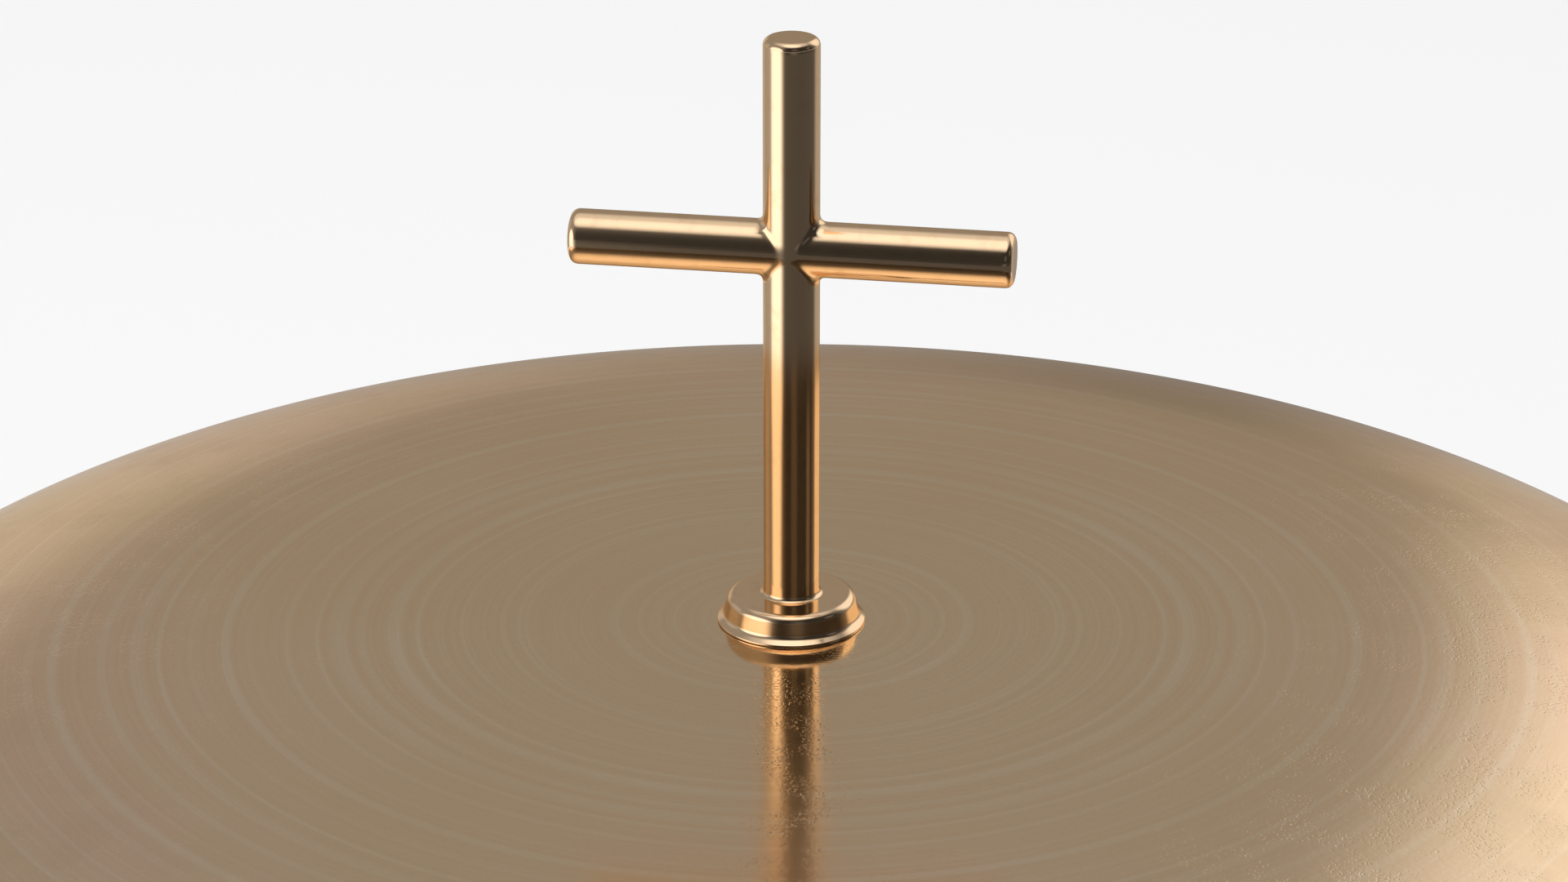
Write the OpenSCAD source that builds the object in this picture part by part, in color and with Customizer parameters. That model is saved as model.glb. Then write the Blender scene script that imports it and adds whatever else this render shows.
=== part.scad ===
// Table sanctus bell: a wide spun-brass dome on a turned column and a weighted foot,
// a round-rod cross on a collar at the top, and a key-and-hammer action under the dome.
// Millimetres, +Z up. The origin is the centre of the underside. The key points to -Y.

/* [Cross] */
// Diameter of the upright rod
rod_d = 6; // [5.6:0.1:7]
// Diameter of the rod across it
arm_d = 5.9; // [5:0.1:6.6]
// Height of the cross above its collar
cross_h = 62.4; // [52:0.2:80]
// Height of the arms' centre line above the collar
arm_h = 39.4; // [30:0.2:46]
// Length of the arms from end to end
arm_span = 47.2; // [36:0.2:60]
// Rounding of the rods' ends
rod_edge = 0.8; // [0.3:0.1:1.5]

/* [Collar] */
// Diameter over the collar's lip
collar_d = 16; // [15:0.2:17]
// Diameter of the collar's wall at the top
collar_top_d = 14; // [13:0.1:14.2]
// Height of the collar
collar_h = 3.1; // [2.4:0.1:4]
// Thickness of the lip at the collar's foot
lip_t = 0.3; // [0.2:0.05:0.6]
// Rounding of the collar's top edge
collar_edge = 0.95; // [0.2:0.05:1]
// Radius of the brazed fillet where the rod meets the collar
braze_r = 0.55; // [0.2:0.05:0.8]

/* [Dome] */
// Diameter of the dome
dome_d = 250; // [240:1:262]
// Rise of the dome's curve, from its widest circle to its crown
dome_rise = 49; // [44:0.5:54]
// Height of the straight skirt below the curve
skirt_h = 9; // [5:0.5:12]
// Thickness of the dome's metal
dome_wall = 2; // [1.5:0.1:2.6]
// Diameter of the bead round the rim
rim_bead_d = 4; // [3:0.1:5]

/* [Column] */
// Height of the column
column_h = 78.5; // [72:0.5:90]
// Diameter of the column's foot
column_foot_d = 42; // [36:0.5:46]
// Diameter of the column's stem
stem_d = 17; // [14:0.5:20]
// Diameter of the column's head, under the dome
column_head_d = 30; // [27:0.5:36]
// Diameter of the round knop on the stem
knop_d = 27; // [23:0.5:30]
// Height of the knop's centre above the column's foot
knop_h = 24; // [20:0.5:30]

/* [Foot] */
// Diameter of the foot
foot_d = 208; // [200:1:216]
// Height of the foot's rim, up to its flat terrace
rim_h = 10; // [9.5:0.1:14]
// Rounding at the rim's top edge
rim_round = 4; // [2.5:0.1:5]
// Diameter of the bead round the rim
foot_bead_d = 2.6; // [2:0.1:3]
// Diameter where the foot starts to sweep up to the column
sweep_d = 124; // [110:1:126]
// Height of that sweep
sweep_h = 22; // [18:0.5:26]
// Thickness of the foot's metal
foot_wall = 1.6; // [1.2:0.1:2]
// Thickness of the felt under the foot
felt_t = 2; // [1.5:0.1:3]
// Thickness of the bottom plate
plate_t = 2; // [1.6:0.1:2.4]

/* [Key] */
// Distance from the fulcrum pin out to the edge of the foot
fulcrum_inset = 24; // [23:0.5:26]
// Height of the fulcrum pin above the terrace
fulcrum_h = 20; // [18:0.5:22]
// Width of the key's bar
key_w = 10; // [9:0.5:12]
// Depth of the key's bar
key_depth = 6.4; // [5.6:0.2:7.2]
// Angle that the key turns through when it is pressed
key_travel = 6; // [4:0.5:7]
// Distance from the fulcrum pin out to the return spring
spring_arm = 15; // [14.5:0.5:16]
// Distance from the fulcrum pin in to the rest post
rest_arm = 12; // [12:0.5:14]
// Diameter of the thumb button
button_d = 24; // [18:0.5:30]
// Gap between the dome's rim and the thumb button, seen from above
button_gap = 4; // [3:0.5:8]
// Diameter of the fulcrum pin
fulcrum_pin_d = 4; // [3.4:0.1:4.6]

/* [Hammer] */
// Distance from the hammer's pin out to the dome's inner wall
hammer_inset = 11; // [10:0.5:13]
// Height of the hammer's pin above the fulcrum pin
hammer_pin_h = 8; // [7:0.5:10]
// Height of the strike point above the dome's widest circle
strike_h = 17; // [12:0.5:20]
// Angle that the hammer swings on its pin, ahead of the key
hammer_throw = 4; // [3:0.5:5]
// Diameter of the hammer's head
head_d = 14; // [11:0.5:16]
// Length of the hammer's head
head_len = 20; // [17:0.5:24]
// Length of the wooden tip that stands out of the head
tip_len = 4; // [3:0.5:6]
// Diameter of the hammer's pin
hammer_pin_d = 3; // [2.6:0.1:3.4]

/* [Spring] */
// Diameter of the return spring's wire
wire_d = 1; // [0.8:0.05:1.2]
// Outside diameter of the return spring
spring_d = 9; // [8.6:0.1:9.6]
// Number of turns of the return spring
spring_turns = 6; // [4:1:8]

/* [Fasteners] */
// Diameter of the tie rod through the column
tie_d = 6; // [5:0.1:6.4]
// Diameter of the stud at its upper end, inside the cross
stud_d = 4; // [3:0.1:4.2]
// Length of that stud
stud_len = 10; // [8:0.5:14]
// Thickness of the felt washer under the dome
dome_felt_t = 2; // [1.5:0.1:3]
// Thickness of the seat washer on the column
seat_t = 1.5; // [1:0.1:2.5]
// Thickness of the leather washer under the collar
leather_t = 0.3; // [0.2:0.05:0.6]
// Diameter of the screws that hold the action and the bottom plate
screw_d = 4; // [3:0.1:4.4]

/* [Hidden] */
$fn = 64;

// Clearances
slip = 0.05;        // radial, between a screw, stud or sleeve and its hole
running = 0.05;     // radial, between a pin and what turns on it
press = 0.01;       // radial, between a pin and the hole that holds it
side_gap = 0.3;     // beside a moving piece
rest_gap = 0.3;     // between a resting piece and its felt
strike_gap = 0.35;  // left between the tip and the dome at the end of the throw
bed_gap = 0.05;     // between the felt washer and the slight curve of the crown over it
lip_gap = 0.05;     // between the collar's lip and the crown, so that the leather carries the collar

// Heights, from the ground up
terrace_z = felt_t + rim_h;
deck_z = terrace_z + sweep_h;
seat_z = deck_z + column_h;
crown_in_z = seat_z + seat_t + dome_felt_t + bed_gap;
crown_z = crown_in_z + dome_wall;
widest_z = crown_z - dome_rise;
rim_z = widest_z - skirt_h;
collar_z = crown_z + lip_gap;

// Radii
foot_r = foot_d / 2;
dome_r = dome_d / 2;
dome_in_r = dome_r - dome_wall;
rod_r = rod_d / 2;
tie_r = tie_d / 2;
stud_r = stud_d / 2;
screw_r = screw_d / 2;
sweep_r = sweep_d / 2;
deck_margin = 3;    // deck that shows round the column's foot
deck_r = column_foot_d / 2 + deck_margin;
terrace_r = foot_r - rim_round;

// The dome is a rounded-square curve: (r / R)^n + (z / H)^n = 1
dome_power = 4;
dome_step = 2;      // degrees of the curve's own angle between points
// The crown is flatter than that: inside flat_from only this share of the curve's fall is left
flat_share = 0.2;
flat_from = 0.4 * dome_r;
flat_to = 0.88 * dome_r;
seat_step = 1;      // each washer under the dome is this much smaller in radius than what it lies on
bush_wall = 1.4;
bush_r = tie_r + slip + bush_wall;
leather_r = collar_top_d / 2 - collar_edge;
function dome_r_at(z) = dome_in_r * pow(1 - pow(z / (dome_rise - dome_wall), dome_power), 1 / dome_power);

// The foot
plate_gap = 0.2;
plate_r = foot_r - foot_wall - plate_gap;
plate_hole_r = 14;
plate_screw_count = 4;
plate_screw_pcd_r = (sweep_r + terrace_r) / 2;
ballast_edge = 3;   // iron left inside the innermost hole
ballast_gap = 1.5;
ballast_out_r = terrace_r - ballast_gap;
ballast_z = felt_t + plate_t;
ballast_h = terrace_z - foot_wall - ballast_z;
sweep_step = 6;     // degrees between points of the sweep
countersink = screw_r; // how much wider and deeper than its shank a countersunk head is

// The tie rod's lower end
tie_washer_r = tie_d * 1.5;
tie_washer_t = 1.6;
tie_nut_r = tie_d * 0.96;
tie_nut_h = tie_d * 0.8;
tie_end = 2;        // thread that shows below the nut
tie_nut_z = deck_z - foot_wall - tie_washer_t - tie_nut_h;

// The action, in a plane where X runs out from the column's axis
fulcrum = [foot_r - fulcrum_inset, terrace_z + fulcrum_h];
hammer_pin_at = [dome_in_r - hammer_inset - fulcrum[0], hammer_pin_h]; // from the fulcrum
button_x = dome_r + rim_bead_d / 2 + button_gap + button_d / 2 - fulcrum[0];
boss_wall = 4.5;
boss_r = fulcrum_pin_d / 2 + boss_wall;
cheek_t = 4;
cheek_wall = 4;
cheek_r = fulcrum_pin_d / 2 + cheek_wall;
cheek_in = key_w / 2 + side_gap;
cheek_out = cheek_in + cheek_t;
flange_t = 3;
flange_len = 18;
flange_ear = 11;
flange_screw_y = cheek_out + flange_ear / 2;
tail_over = 3.5;    // key that reaches past the rest post
tail_end = rest_arm + tail_over;
ballast_in_r = fulcrum[0] - rest_arm - screw_r - ballast_edge;
key_thin_w = key_w * 0.7;
key_tip_depth = key_depth * 0.75;
seat_pad_r = 8;
button_h = 7.5;
button_rise = 2;    // foot of the button below its disc
post_shoulder = 0.6;
post_r = screw_r + post_shoulder;
post_cap_t = 1;
rest_felt_t = 2;
rest_felt_r = post_r + 0.5;
key_under = key_depth / 2;
// Top of the post under the spring: where the pressed key comes down to, less a small gap
stop_z = fulcrum[1] - key_under * cos(key_travel) - (spring_arm + post_r) * sin(key_travel) - rest_gap;
rest_top_z = fulcrum[1] - key_under - rest_gap;

// The hammer, drawn in its striking pose with its pin at the origin and its head level
eye_wall = 2.5;
eye_r = hammer_pin_d / 2 + eye_wall;
eye_w = 4;
slot_w = eye_w + 2 * side_gap;
arm_w = 5;
strike_z = widest_z + strike_h;
pin_struck = fulcrum + [
    hammer_pin_at[0] * cos(key_travel) + hammer_pin_at[1] * sin(key_travel),
    hammer_pin_at[1] * cos(key_travel) - hammer_pin_at[0] * sin(key_travel)
];
head_at = [
    dome_r_at(strike_h) - strike_gap - tip_len - head_len / 2 - pin_struck[0],
    strike_z - pin_struck[1]
];
arm_lean = atan2(-head_at[0], head_at[1]);
arm_len = norm(head_at);
rest_turn = key_travel + hammer_throw;
rest_lean = arm_lean + rest_turn;
head_r = head_d / 2;
head_edge = 1.2;
neck_r = 1.6;
neck_up = 3;        // how far the arm's neck reaches past the head's centre line
neck_gap = 0.3;     // between the arm's shoulder and the round of the head
neck_shoulder = 0.3;
grub_r = 1.5;
spigot_r = 2.6;
spigot_len = 5;
tip_step = 2;
tip_r = head_r - tip_step;
rest_pad_t = 2;
rest_tab_t = 3.5;
rest_tab_h = 14;
rest_pad_x = arm_w / 2 + rest_gap;

// The spring's centre line
wire_r = wire_d / 2;
coil_r = spring_d / 2 - wire_r;
wire_sides = 6;
rings_per_turn = 8;
spring_gap = 0.15;  // above and below the spring
spring_low = terrace_z + wire_r + spring_gap;
spring_high = fulcrum[1] - key_under - wire_r - spring_gap;

// Colours
BRASS = "#c9a26a";
DOME_BRASS = "#b39468";
STEEL = "#9a9da1";
IRON = "#4a4a4c";
FELT = "#5a1f24";
LEATHER = "#3b261a";
RUBBER = "#232324";
BOXWOOD = "#c7a15f";

// Points along a circular arc, both ends included
function arc(centre, r, from, to, steps = 8) = [
    for (i = [0 : steps])
        let (a = from + (to - from) * i / steps)
        [centre[0] + r * cos(a), centre[1] + r * sin(a)]
];

// Share of the dome's fall that is left at a radius
function fall_share(r) =
    let (t = max(0, min(1, (r - flat_from) / (flat_to - flat_from))))
    flat_share + (1 - flat_share) * t * t * (3 - 2 * t);

// Points along the dome's curve from crown to widest circle
function dome_curve(r, h) = [
    for (t = [90 : -dome_step : 0])
        let (x = r * pow(cos(t), 2 / dome_power), fall = h * (1 - pow(sin(t), 2 / dome_power)))
        [x, h - fall * fall_share(x)]
];

// Points up the foot's sweep, moved down and in by the given amount
function sweep_curve(shift) = [
    for (t = [0 : sweep_step : 90]) [
        deck_r + (sweep_r - deck_r) * (1 - sin(t)) - shift,
        terrace_z + sweep_h * (1 - cos(t)) - shift
    ]
];

module turned(points) {
    rotate_extrude() polygon(points);
}

module ring(outer_r, inner_r, h) {
    difference() {
        cylinder(r = outer_r, h = h);
        translate([0, 0, -1]) cylinder(r = inner_r, h = h + 2);
    }
}

// A flat shape in the plane of the action, given a thickness across that plane
module side_plate(t) {
    translate([0, t / 2, 0]) rotate([90, 0, 0]) linear_extrude(t) children();
}

// A pin or a hole across the plane of the action
module cross_pin(r, length) {
    translate([0, length / 2, 0]) rotate([90, 0, 0]) cylinder(r = r, h = length);
}

// Turns the plane of the action so that the key points to -Y
module in_action() {
    rotate([0, 0, -90]) children();
}

module at_fulcrum() {
    in_action() translate([fulcrum[0], 0, fulcrum[1]]) children();
}

module at_hammer() {
    at_fulcrum() translate([hammer_pin_at[0], 0, hammer_pin_at[1]]) rotate([0, -rest_turn, 0]) children();
}

module along_arm() {
    rotate([0, -arm_lean, 0]) children();
}

module at_head() {
    at_hammer() translate([head_at[0], 0, head_at[1]]) children();
}

// Places of the posts, the bracket's screws and the bottom plate's screws, on the terrace
module at_rest_post() {
    in_action() translate([fulcrum[0] - rest_arm, 0, 0]) children();
}

module at_spring_post() {
    in_action() translate([fulcrum[0] + spring_arm, 0, 0]) children();
}

module at_bracket_screws() {
    for (side = [-1, 1]) in_action() translate([fulcrum[0], side * flange_screw_y, 0]) children();
}

module at_plate_screws() {
    for (i = [0 : plate_screw_count - 1])
        rotate([0, 0, 360 * (i + 0.5) / plate_screw_count]) translate([plate_screw_pcd_r, 0, 0]) children();
}

// Holes through the terrace for everything that is screwed down to the ballast
module terrace_holes(r) {
    at_rest_post() cylinder(r = r, h = deck_z);
    at_spring_post() cylinder(r = r, h = deck_z);
    at_bracket_screws() cylinder(r = r, h = deck_z);
}

// A countersunk screw standing head down, with its head's face at z = 0
module countersunk_screw(length) {
    cylinder(r1 = screw_r + countersink, r2 = screw_r, h = countersink);
    cylinder(r = screw_r, h = length);
}

// A rod with rounded ends, or with only its upper end rounded
module rounded_rod(d, length, both_ends) {
    r = d / 2;
    low = both_ends ? arc([r - rod_edge, rod_edge], rod_edge, -90, 0) : [[r, 0]];
    turned(concat([[0, 0]], low, arc([r - rod_edge, length - rod_edge], rod_edge, 0, 90), [[0, length]]));
}

// Foot

module base_felt() {
    color(FELT) cylinder(r = foot_r - foot_wall / 2, h = felt_t);
}

module base_plate() {
    color(STEEL) difference() {
        translate([0, 0, felt_t]) ring(plate_r, plate_hole_r, plate_t);
        at_plate_screws() translate([0, 0, felt_t - slip]) {
            cylinder(r1 = screw_r + countersink + 2 * slip, r2 = screw_r + slip, h = countersink + slip);
            cylinder(r = screw_r + slip, h = plate_t + 1);
        }
    }
}

module plate_screws() {
    color(STEEL) at_plate_screws() translate([0, 0, felt_t]) countersunk_screw(plate_t + ballast_h * 0.7);
}

module ballast_ring() {
    color(IRON) difference() {
        translate([0, 0, ballast_z]) ring(ballast_out_r, ballast_in_r, ballast_h);
        terrace_holes(screw_r + slip);
        at_plate_screws() cylinder(r = screw_r + slip, h = terrace_z);
    }
}

module base_foot() {
    rim_top = terrace_z - rim_round;
    outside = concat(
        [[foot_r, felt_t]],
        arc([terrace_r, rim_top], rim_round, 0, 90),
        sweep_curve(0),
        [[tie_r + slip, deck_z]]
    );
    inside = concat(
        [[foot_r - foot_wall, felt_t]],
        arc([terrace_r, rim_top], rim_round - foot_wall, 0, 90),
        sweep_curve(foot_wall),
        [[tie_r + slip, deck_z - foot_wall]]
    );
    last = len(inside) - 1;
    color(BRASS) difference() {
        rotate_extrude() {
            polygon(concat(outside, [for (i = [last : -1 : 0]) inside[i]]));
            translate([foot_r, felt_t + (rim_top - felt_t) / 2]) circle(d = foot_bead_d);
        }
        terrace_holes(screw_r + slip);
    }
}

module tie_washer() {
    color(STEEL) translate([0, 0, deck_z - foot_wall - tie_washer_t])
        ring(tie_washer_r, tie_r + slip, tie_washer_t);
}

module tie_nut() {
    color(STEEL) translate([0, 0, tie_nut_z]) difference() {
        cylinder(r = tie_nut_r, h = tie_nut_h, $fn = 6);
        translate([0, 0, -1]) cylinder(r = tie_r + slip, h = tie_nut_h + 2);
    }
}

// Column and what it clamps

module tie_rod() {
    color(STEEL) {
        translate([0, 0, tie_nut_z - tie_end]) cylinder(r = tie_r, h = collar_z - slip - tie_nut_z + tie_end);
        translate([0, 0, collar_z - 1]) cylinder(r = stud_r, h = stud_len + 1);
    }
}

module column() {
    foot_r2 = column_foot_d / 2;
    stem_r = stem_d / 2;
    head_r2 = column_head_d / 2;
    foot_t = 3;
    foot_cove = 5;
    head_t = 3;
    head_cove = 6;
    knop_r = 8;
    knop_c = knop_d / 2 - knop_r;
    knop_a = acos((stem_r - knop_c) / knop_r);
    color(BRASS) translate([0, 0, deck_z]) turned(concat(
        [[tie_r + slip, 0]],
        arc([foot_r2 - foot_t / 2, foot_t / 2], foot_t / 2, -90, 90),
        arc([stem_r + foot_cove, foot_t + foot_cove], foot_cove, 270, 180),
        arc([knop_c, knop_h], knop_r, -knop_a, knop_a, 14),
        arc([stem_r + head_cove, column_h - head_t - head_cove], head_cove, 180, 90),
        arc([head_r2 - head_t / 2, column_h - head_t / 2], head_t / 2, -90, 90),
        [[tie_r + slip, column_h]]
    ));
}

module seat_washer() {
    color(STEEL) translate([0, 0, seat_z]) ring(column_head_d / 2 - seat_step, tie_r + slip, seat_t);
}

module dome_felt() {
    color(FELT) translate([0, 0, seat_z + seat_t]) ring(column_head_d / 2 - 2 * seat_step, bush_r + slip, dome_felt_t);
}

module centre_bush() {
    color(RUBBER) translate([0, 0, seat_z + seat_t])
        ring(bush_r, tie_r + slip, collar_z - seat_z - seat_t);
}

module bell_dome() {
    inside = dome_curve(dome_in_r, dome_rise - dome_wall);
    last = len(inside) - 1;
    bead_r = rim_bead_d / 2;
    // Angle, seen from the bead's centre, at which the wall runs into the bead
    bead_a = acos(dome_wall / 2 / bead_r);
    color(DOME_BRASS) translate([0, 0, widest_z]) difference() {
        turned(concat(
            dome_curve(dome_r, dome_rise),
            arc([dome_r - dome_wall / 2, bead_r - skirt_h], bead_r, bead_a, -180 - bead_a, 24),
            [for (i = [last : -1 : 0]) inside[i]]
        ));
        cylinder(r = bush_r + slip, h = dome_rise + 1);
    }
}

module collar_leather() {
    color(LEATHER) translate([0, 0, crown_z]) ring(leather_r, bush_r + slip, leather_t);
}

module finial_collar() {
    bore_r = rod_r + press;
    lip_edge = lip_t / 2;
    recess = leather_t - lip_gap;
    top_r = collar_top_d / 2;
    draft = 0.25;
    foot_wall_r = top_r + draft;
    // The lip slopes down from the hollow at the wall's foot to its own round edge
    flare = 35;
    edge_at = [collar_d / 2 - lip_edge * (1 - sin(flare)), lip_edge * (1 + cos(flare))];
    ledge = edge_at[0] - foot_wall_r;
    cove = 1.15 * ledge;
    slope = (ledge - cove * (1 - sin(flare))) / cos(flare);
    cove_z = edge_at[1] + slope * sin(flare) + cove * cos(flare);
    color(BRASS) translate([0, 0, collar_z]) turned(concat(
        [[bore_r, recess], [leather_r + slip, recess], [leather_r + slip, 0], [collar_d / 2, 0]],
        arc([collar_d / 2 - lip_edge, lip_edge], lip_edge, 0, 90 - flare),
        arc([foot_wall_r + cove, cove_z], cove, 270 - flare, 180),
        arc([top_r - collar_edge, collar_h - collar_edge], collar_edge, 0, 90),
        arc([bore_r + braze_r, collar_h + braze_r], braze_r, 270, 180)
    ));
}

module cross() {
    color(BRASS) translate([0, 0, collar_z]) difference() {
        union() {
            rounded_rod(rod_d, collar_h + cross_h, false);
            translate([-arm_span / 2, 0, collar_h + arm_h]) rotate([0, 90, 0]) rounded_rod(arm_d, arm_span, true);
        }
        translate([0, 0, -1]) cylinder(r = stud_r + slip, h = stud_len + 2);
    }
}

// Fulcrum, posts and spring

module fulcrum_bracket() {
    cheek_h = fulcrum_h - flange_t;
    color(BRASS) difference() {
        union() {
            in_action() translate([fulcrum[0] - flange_len / 2, -cheek_out - flange_ear, terrace_z])
                cube([flange_len, 2 * (cheek_out + flange_ear), flange_t]);
            at_fulcrum() for (side = [-1, 1])
                translate([0, side * (cheek_in + cheek_t / 2), 0]) side_plate(cheek_t) {
                    circle(r = cheek_r);
                    translate([-cheek_r, -cheek_h]) square([2 * cheek_r, cheek_h]);
                }
        }
        at_fulcrum() cross_pin(fulcrum_pin_d / 2 + press, 2 * cheek_out + 2);
        at_bracket_screws() cylinder(r = screw_r + slip, h = deck_z);
    }
}

module bracket_screws() {
    head_h = screw_d * 0.65;
    color(STEEL) at_bracket_screws() {
        translate([0, 0, ballast_z + 1]) cylinder(r = screw_r, h = terrace_z + flange_t - ballast_z);
        translate([0, 0, terrace_z + flange_t]) difference() {
            cylinder(r = screw_d * 0.9, h = head_h);
            translate([-screw_d, -0.5, head_h - 1]) cube([2 * screw_d, 1, 2]);
        }
    }
}

module fulcrum_pin() {
    head_t = 1.4;
    head_step = 1.3;
    pin_over = 2.2;
    pin_len = 2 * cheek_out + pin_over;
    color(STEEL) at_fulcrum() translate([0, -cheek_out, 0]) rotate([-90, 0, 0]) {
        translate([0, 0, -head_t]) cylinder(r = fulcrum_pin_d / 2 + head_step, h = head_t);
        cylinder(r = fulcrum_pin_d / 2, h = pin_len);
    }
}

module pin_clip() {
    clip_step = 1.5;
    clip_t = 0.8;
    color(STEEL) at_fulcrum() translate([0, cheek_out + slip, 0]) rotate([-90, 0, 0])
        ring(fulcrum_pin_d / 2 + clip_step, fulcrum_pin_d / 2 + press, clip_t);
}

// A brass post with a screwed stub that goes down into the ballast
module post(top_z) {
    translate([0, 0, ballast_z + 1]) cylinder(r = screw_r, h = terrace_z - ballast_z);
    translate([0, 0, terrace_z]) cylinder(r = post_r, h = top_z - terrace_z);
}

module rest_post() {
    color(BRASS) at_rest_post() post(rest_top_z - rest_felt_t);
}

module rest_felt() {
    color(FELT) at_rest_post() translate([0, 0, rest_top_z - rest_felt_t]) cylinder(r = rest_felt_r, h = rest_felt_t);
}

module spring_post() {
    color(BRASS) at_spring_post() post(stop_z - post_cap_t);
}

module spring_post_cap() {
    color(LEATHER) at_spring_post() translate([0, 0, stop_z - post_cap_t]) cylinder(r = post_r, h = post_cap_t);
}

// Centre line of the spring: a short straight lead at each end, and turns that climb steadily between them
function spring_point(i) =
    let (a = 360 * i / rings_per_turn, last = spring_turns * rings_per_turn)
    [coil_r * cos(a), coil_r * sin(a), spring_low + (spring_high - spring_low) * i / last];
function spring_path() =
    let (
        last = spring_turns * rings_per_turn,
        turns = [for (i = [0 : last]) spring_point(i)]
    )
    concat([turns[0] - [0, wire_d, 0]], turns, [turns[last] + [0, wire_d, 0]]);
function unit(v) = v / norm(v);
function along(path, i) = unit(path[min(i + 1, len(path) - 1)] - path[max(i - 1, 0)]);
function tube_ring(path, i) =
    let (
        t = along(path, i),
        out = unit([path[i][0], path[i][1], 0]),
        side = unit(out - t * (out * t)),
        up = cross(t, side)
    )
    [for (k = [0 : wire_sides - 1]) let (a = 360 * k / wire_sides) path[i] + wire_r * (side * cos(a) + up * sin(a))];

// Least distance between the surfaces of turns that lie one above the other
spring_path_points = spring_path();
spring_self_gap = min([
    for (i = [0 : len(spring_path_points) - 1], j = [i + rings_per_turn / 2 : 1 : len(spring_path_points) - 1])
        norm(spring_path_points[i] - spring_path_points[j])
]) - wire_d;
echo(spring_self_gap = spring_self_gap);

module return_spring() {
    path = spring_path_points;
    count = len(path);
    points = concat([path[0]], [for (i = [0 : count - 1]) each tube_ring(path, i)], [path[count - 1]]);
    end = len(points) - 1;
    function at(i, k) = 1 + i * wire_sides + (k % wire_sides);
    faces = concat(
        [for (k = [0 : wire_sides - 1]) [0, at(0, k), at(0, k + 1)]],
        [for (i = [0 : count - 2], k = [0 : wire_sides - 1]) each [
            [at(i, k), at(i + 1, k), at(i, k + 1)],
            [at(i, k + 1), at(i + 1, k), at(i + 1, k + 1)]
        ]],
        [for (k = [0 : wire_sides - 1]) [end, at(count - 1, k + 1), at(count - 1, k)]]
    );
    color(STEEL) at_spring_post() polyhedron(points, faces);
}

// Key

module key_lever() {
    h = key_depth / 2;
    tip_h = key_tip_depth / 2;
    fork_x = hammer_pin_at[0];
    slot_back = arm_w / 2 + rest_gap + rest_pad_t;
    slot_sink = 0.2;
    color(BRASS) at_fulcrum() difference() {
        union() {
            side_plate(key_w) {
                circle(r = boss_r);
                translate([-tail_end, -h]) square([tail_end + fork_x + eye_r + 1, key_depth]);
                translate(hammer_pin_at) circle(r = eye_r);
                translate([fork_x - eye_r, 0]) square([2 * eye_r, hammer_pin_at[1]]);
                translate(hammer_pin_at) rotate(rest_lean)
                    translate([-rest_pad_x - rest_pad_t - rest_tab_t, -hammer_pin_at[1]])
                        square([rest_tab_t, hammer_pin_at[1] + rest_tab_h]);
            }
            side_plate(key_thin_w) polygon([
                [fork_x, -h], [button_x - seat_pad_r, -tip_h], [button_x, -tip_h],
                [button_x, tip_h], [button_x - seat_pad_r, tip_h], [fork_x, h]
            ]);
            translate([button_x, 0, -tip_h]) cylinder(r = seat_pad_r, h = key_tip_depth);
        }
        cross_pin(fulcrum_pin_d / 2 + running, key_w + 2);
        translate([fork_x, 0, hammer_pin_at[1]]) cross_pin(hammer_pin_d / 2 + press, key_w + 2);
        translate([fork_x - slot_back, -slot_w / 2, h - slot_sink])
            cube([slot_back + eye_r + 2, slot_w, 2 * eye_r + rest_tab_h]);
        translate([button_x, 0, -tip_h - slip]) {
            cylinder(r1 = screw_r + countersink + 2 * slip, r2 = screw_r + slip, h = countersink + slip);
            cylinder(r = screw_r + slip, h = key_tip_depth + 1);
        }
    }
}

module thumb_button() {
    r = button_d / 2;
    foot_r2 = seat_pad_r - 1;
    disc_t = button_h - button_rise;
    edge = 1.6;
    crown = 0.8;
    color(BRASS) at_fulcrum() translate([button_x, 0, key_tip_depth / 2]) difference() {
        turned(concat(
            [[0, 0], [foot_r2, 0], [foot_r2, button_rise]],
            arc([r - edge, button_rise + edge], edge, -90, 0),
            arc([r - edge, button_h - edge - crown], edge, 0, 75),
            [[0, button_rise + disc_t]]
        ));
        translate([0, 0, -1]) cylinder(r = screw_r + slip, h = button_rise + 1 + disc_t * 0.6);
    }
}

module button_screw() {
    color(STEEL) at_fulcrum() translate([button_x, 0, -key_tip_depth / 2])
        countersunk_screw(key_tip_depth + button_rise + 2);
}

// Hammer

module hammer_pin() {
    color(STEEL) at_fulcrum() translate([hammer_pin_at[0], 0, hammer_pin_at[1]])
        cross_pin(hammer_pin_d / 2, key_w + 1);
}

module hammer_rest() {
    color(FELT) at_fulcrum() translate([hammer_pin_at[0], 0, hammer_pin_at[1]]) rotate([0, -rest_lean, 0])
        translate([-rest_pad_x - rest_pad_t, -eye_w / 2, eye_r + 1])
            cube([rest_pad_t, eye_w, rest_tab_h - eye_r - 1]);
}

module hammer_arm() {
    bar_end = arm_len - head_r - neck_gap;
    top_w = 2 * (neck_r + neck_shoulder);
    color(STEEL) at_hammer() difference() {
        along_arm() {
            side_plate(eye_w) {
                circle(r = eye_r);
                polygon([[-arm_w / 2, 0], [arm_w / 2, 0], [top_w / 2, bar_end], [-top_w / 2, bar_end]]);
            }
            translate([0, 0, bar_end - 1]) cylinder(r = neck_r, h = head_r + neck_up + 1);
        }
        cross_pin(hammer_pin_d / 2 + running, eye_w + 2);
    }
}

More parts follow.
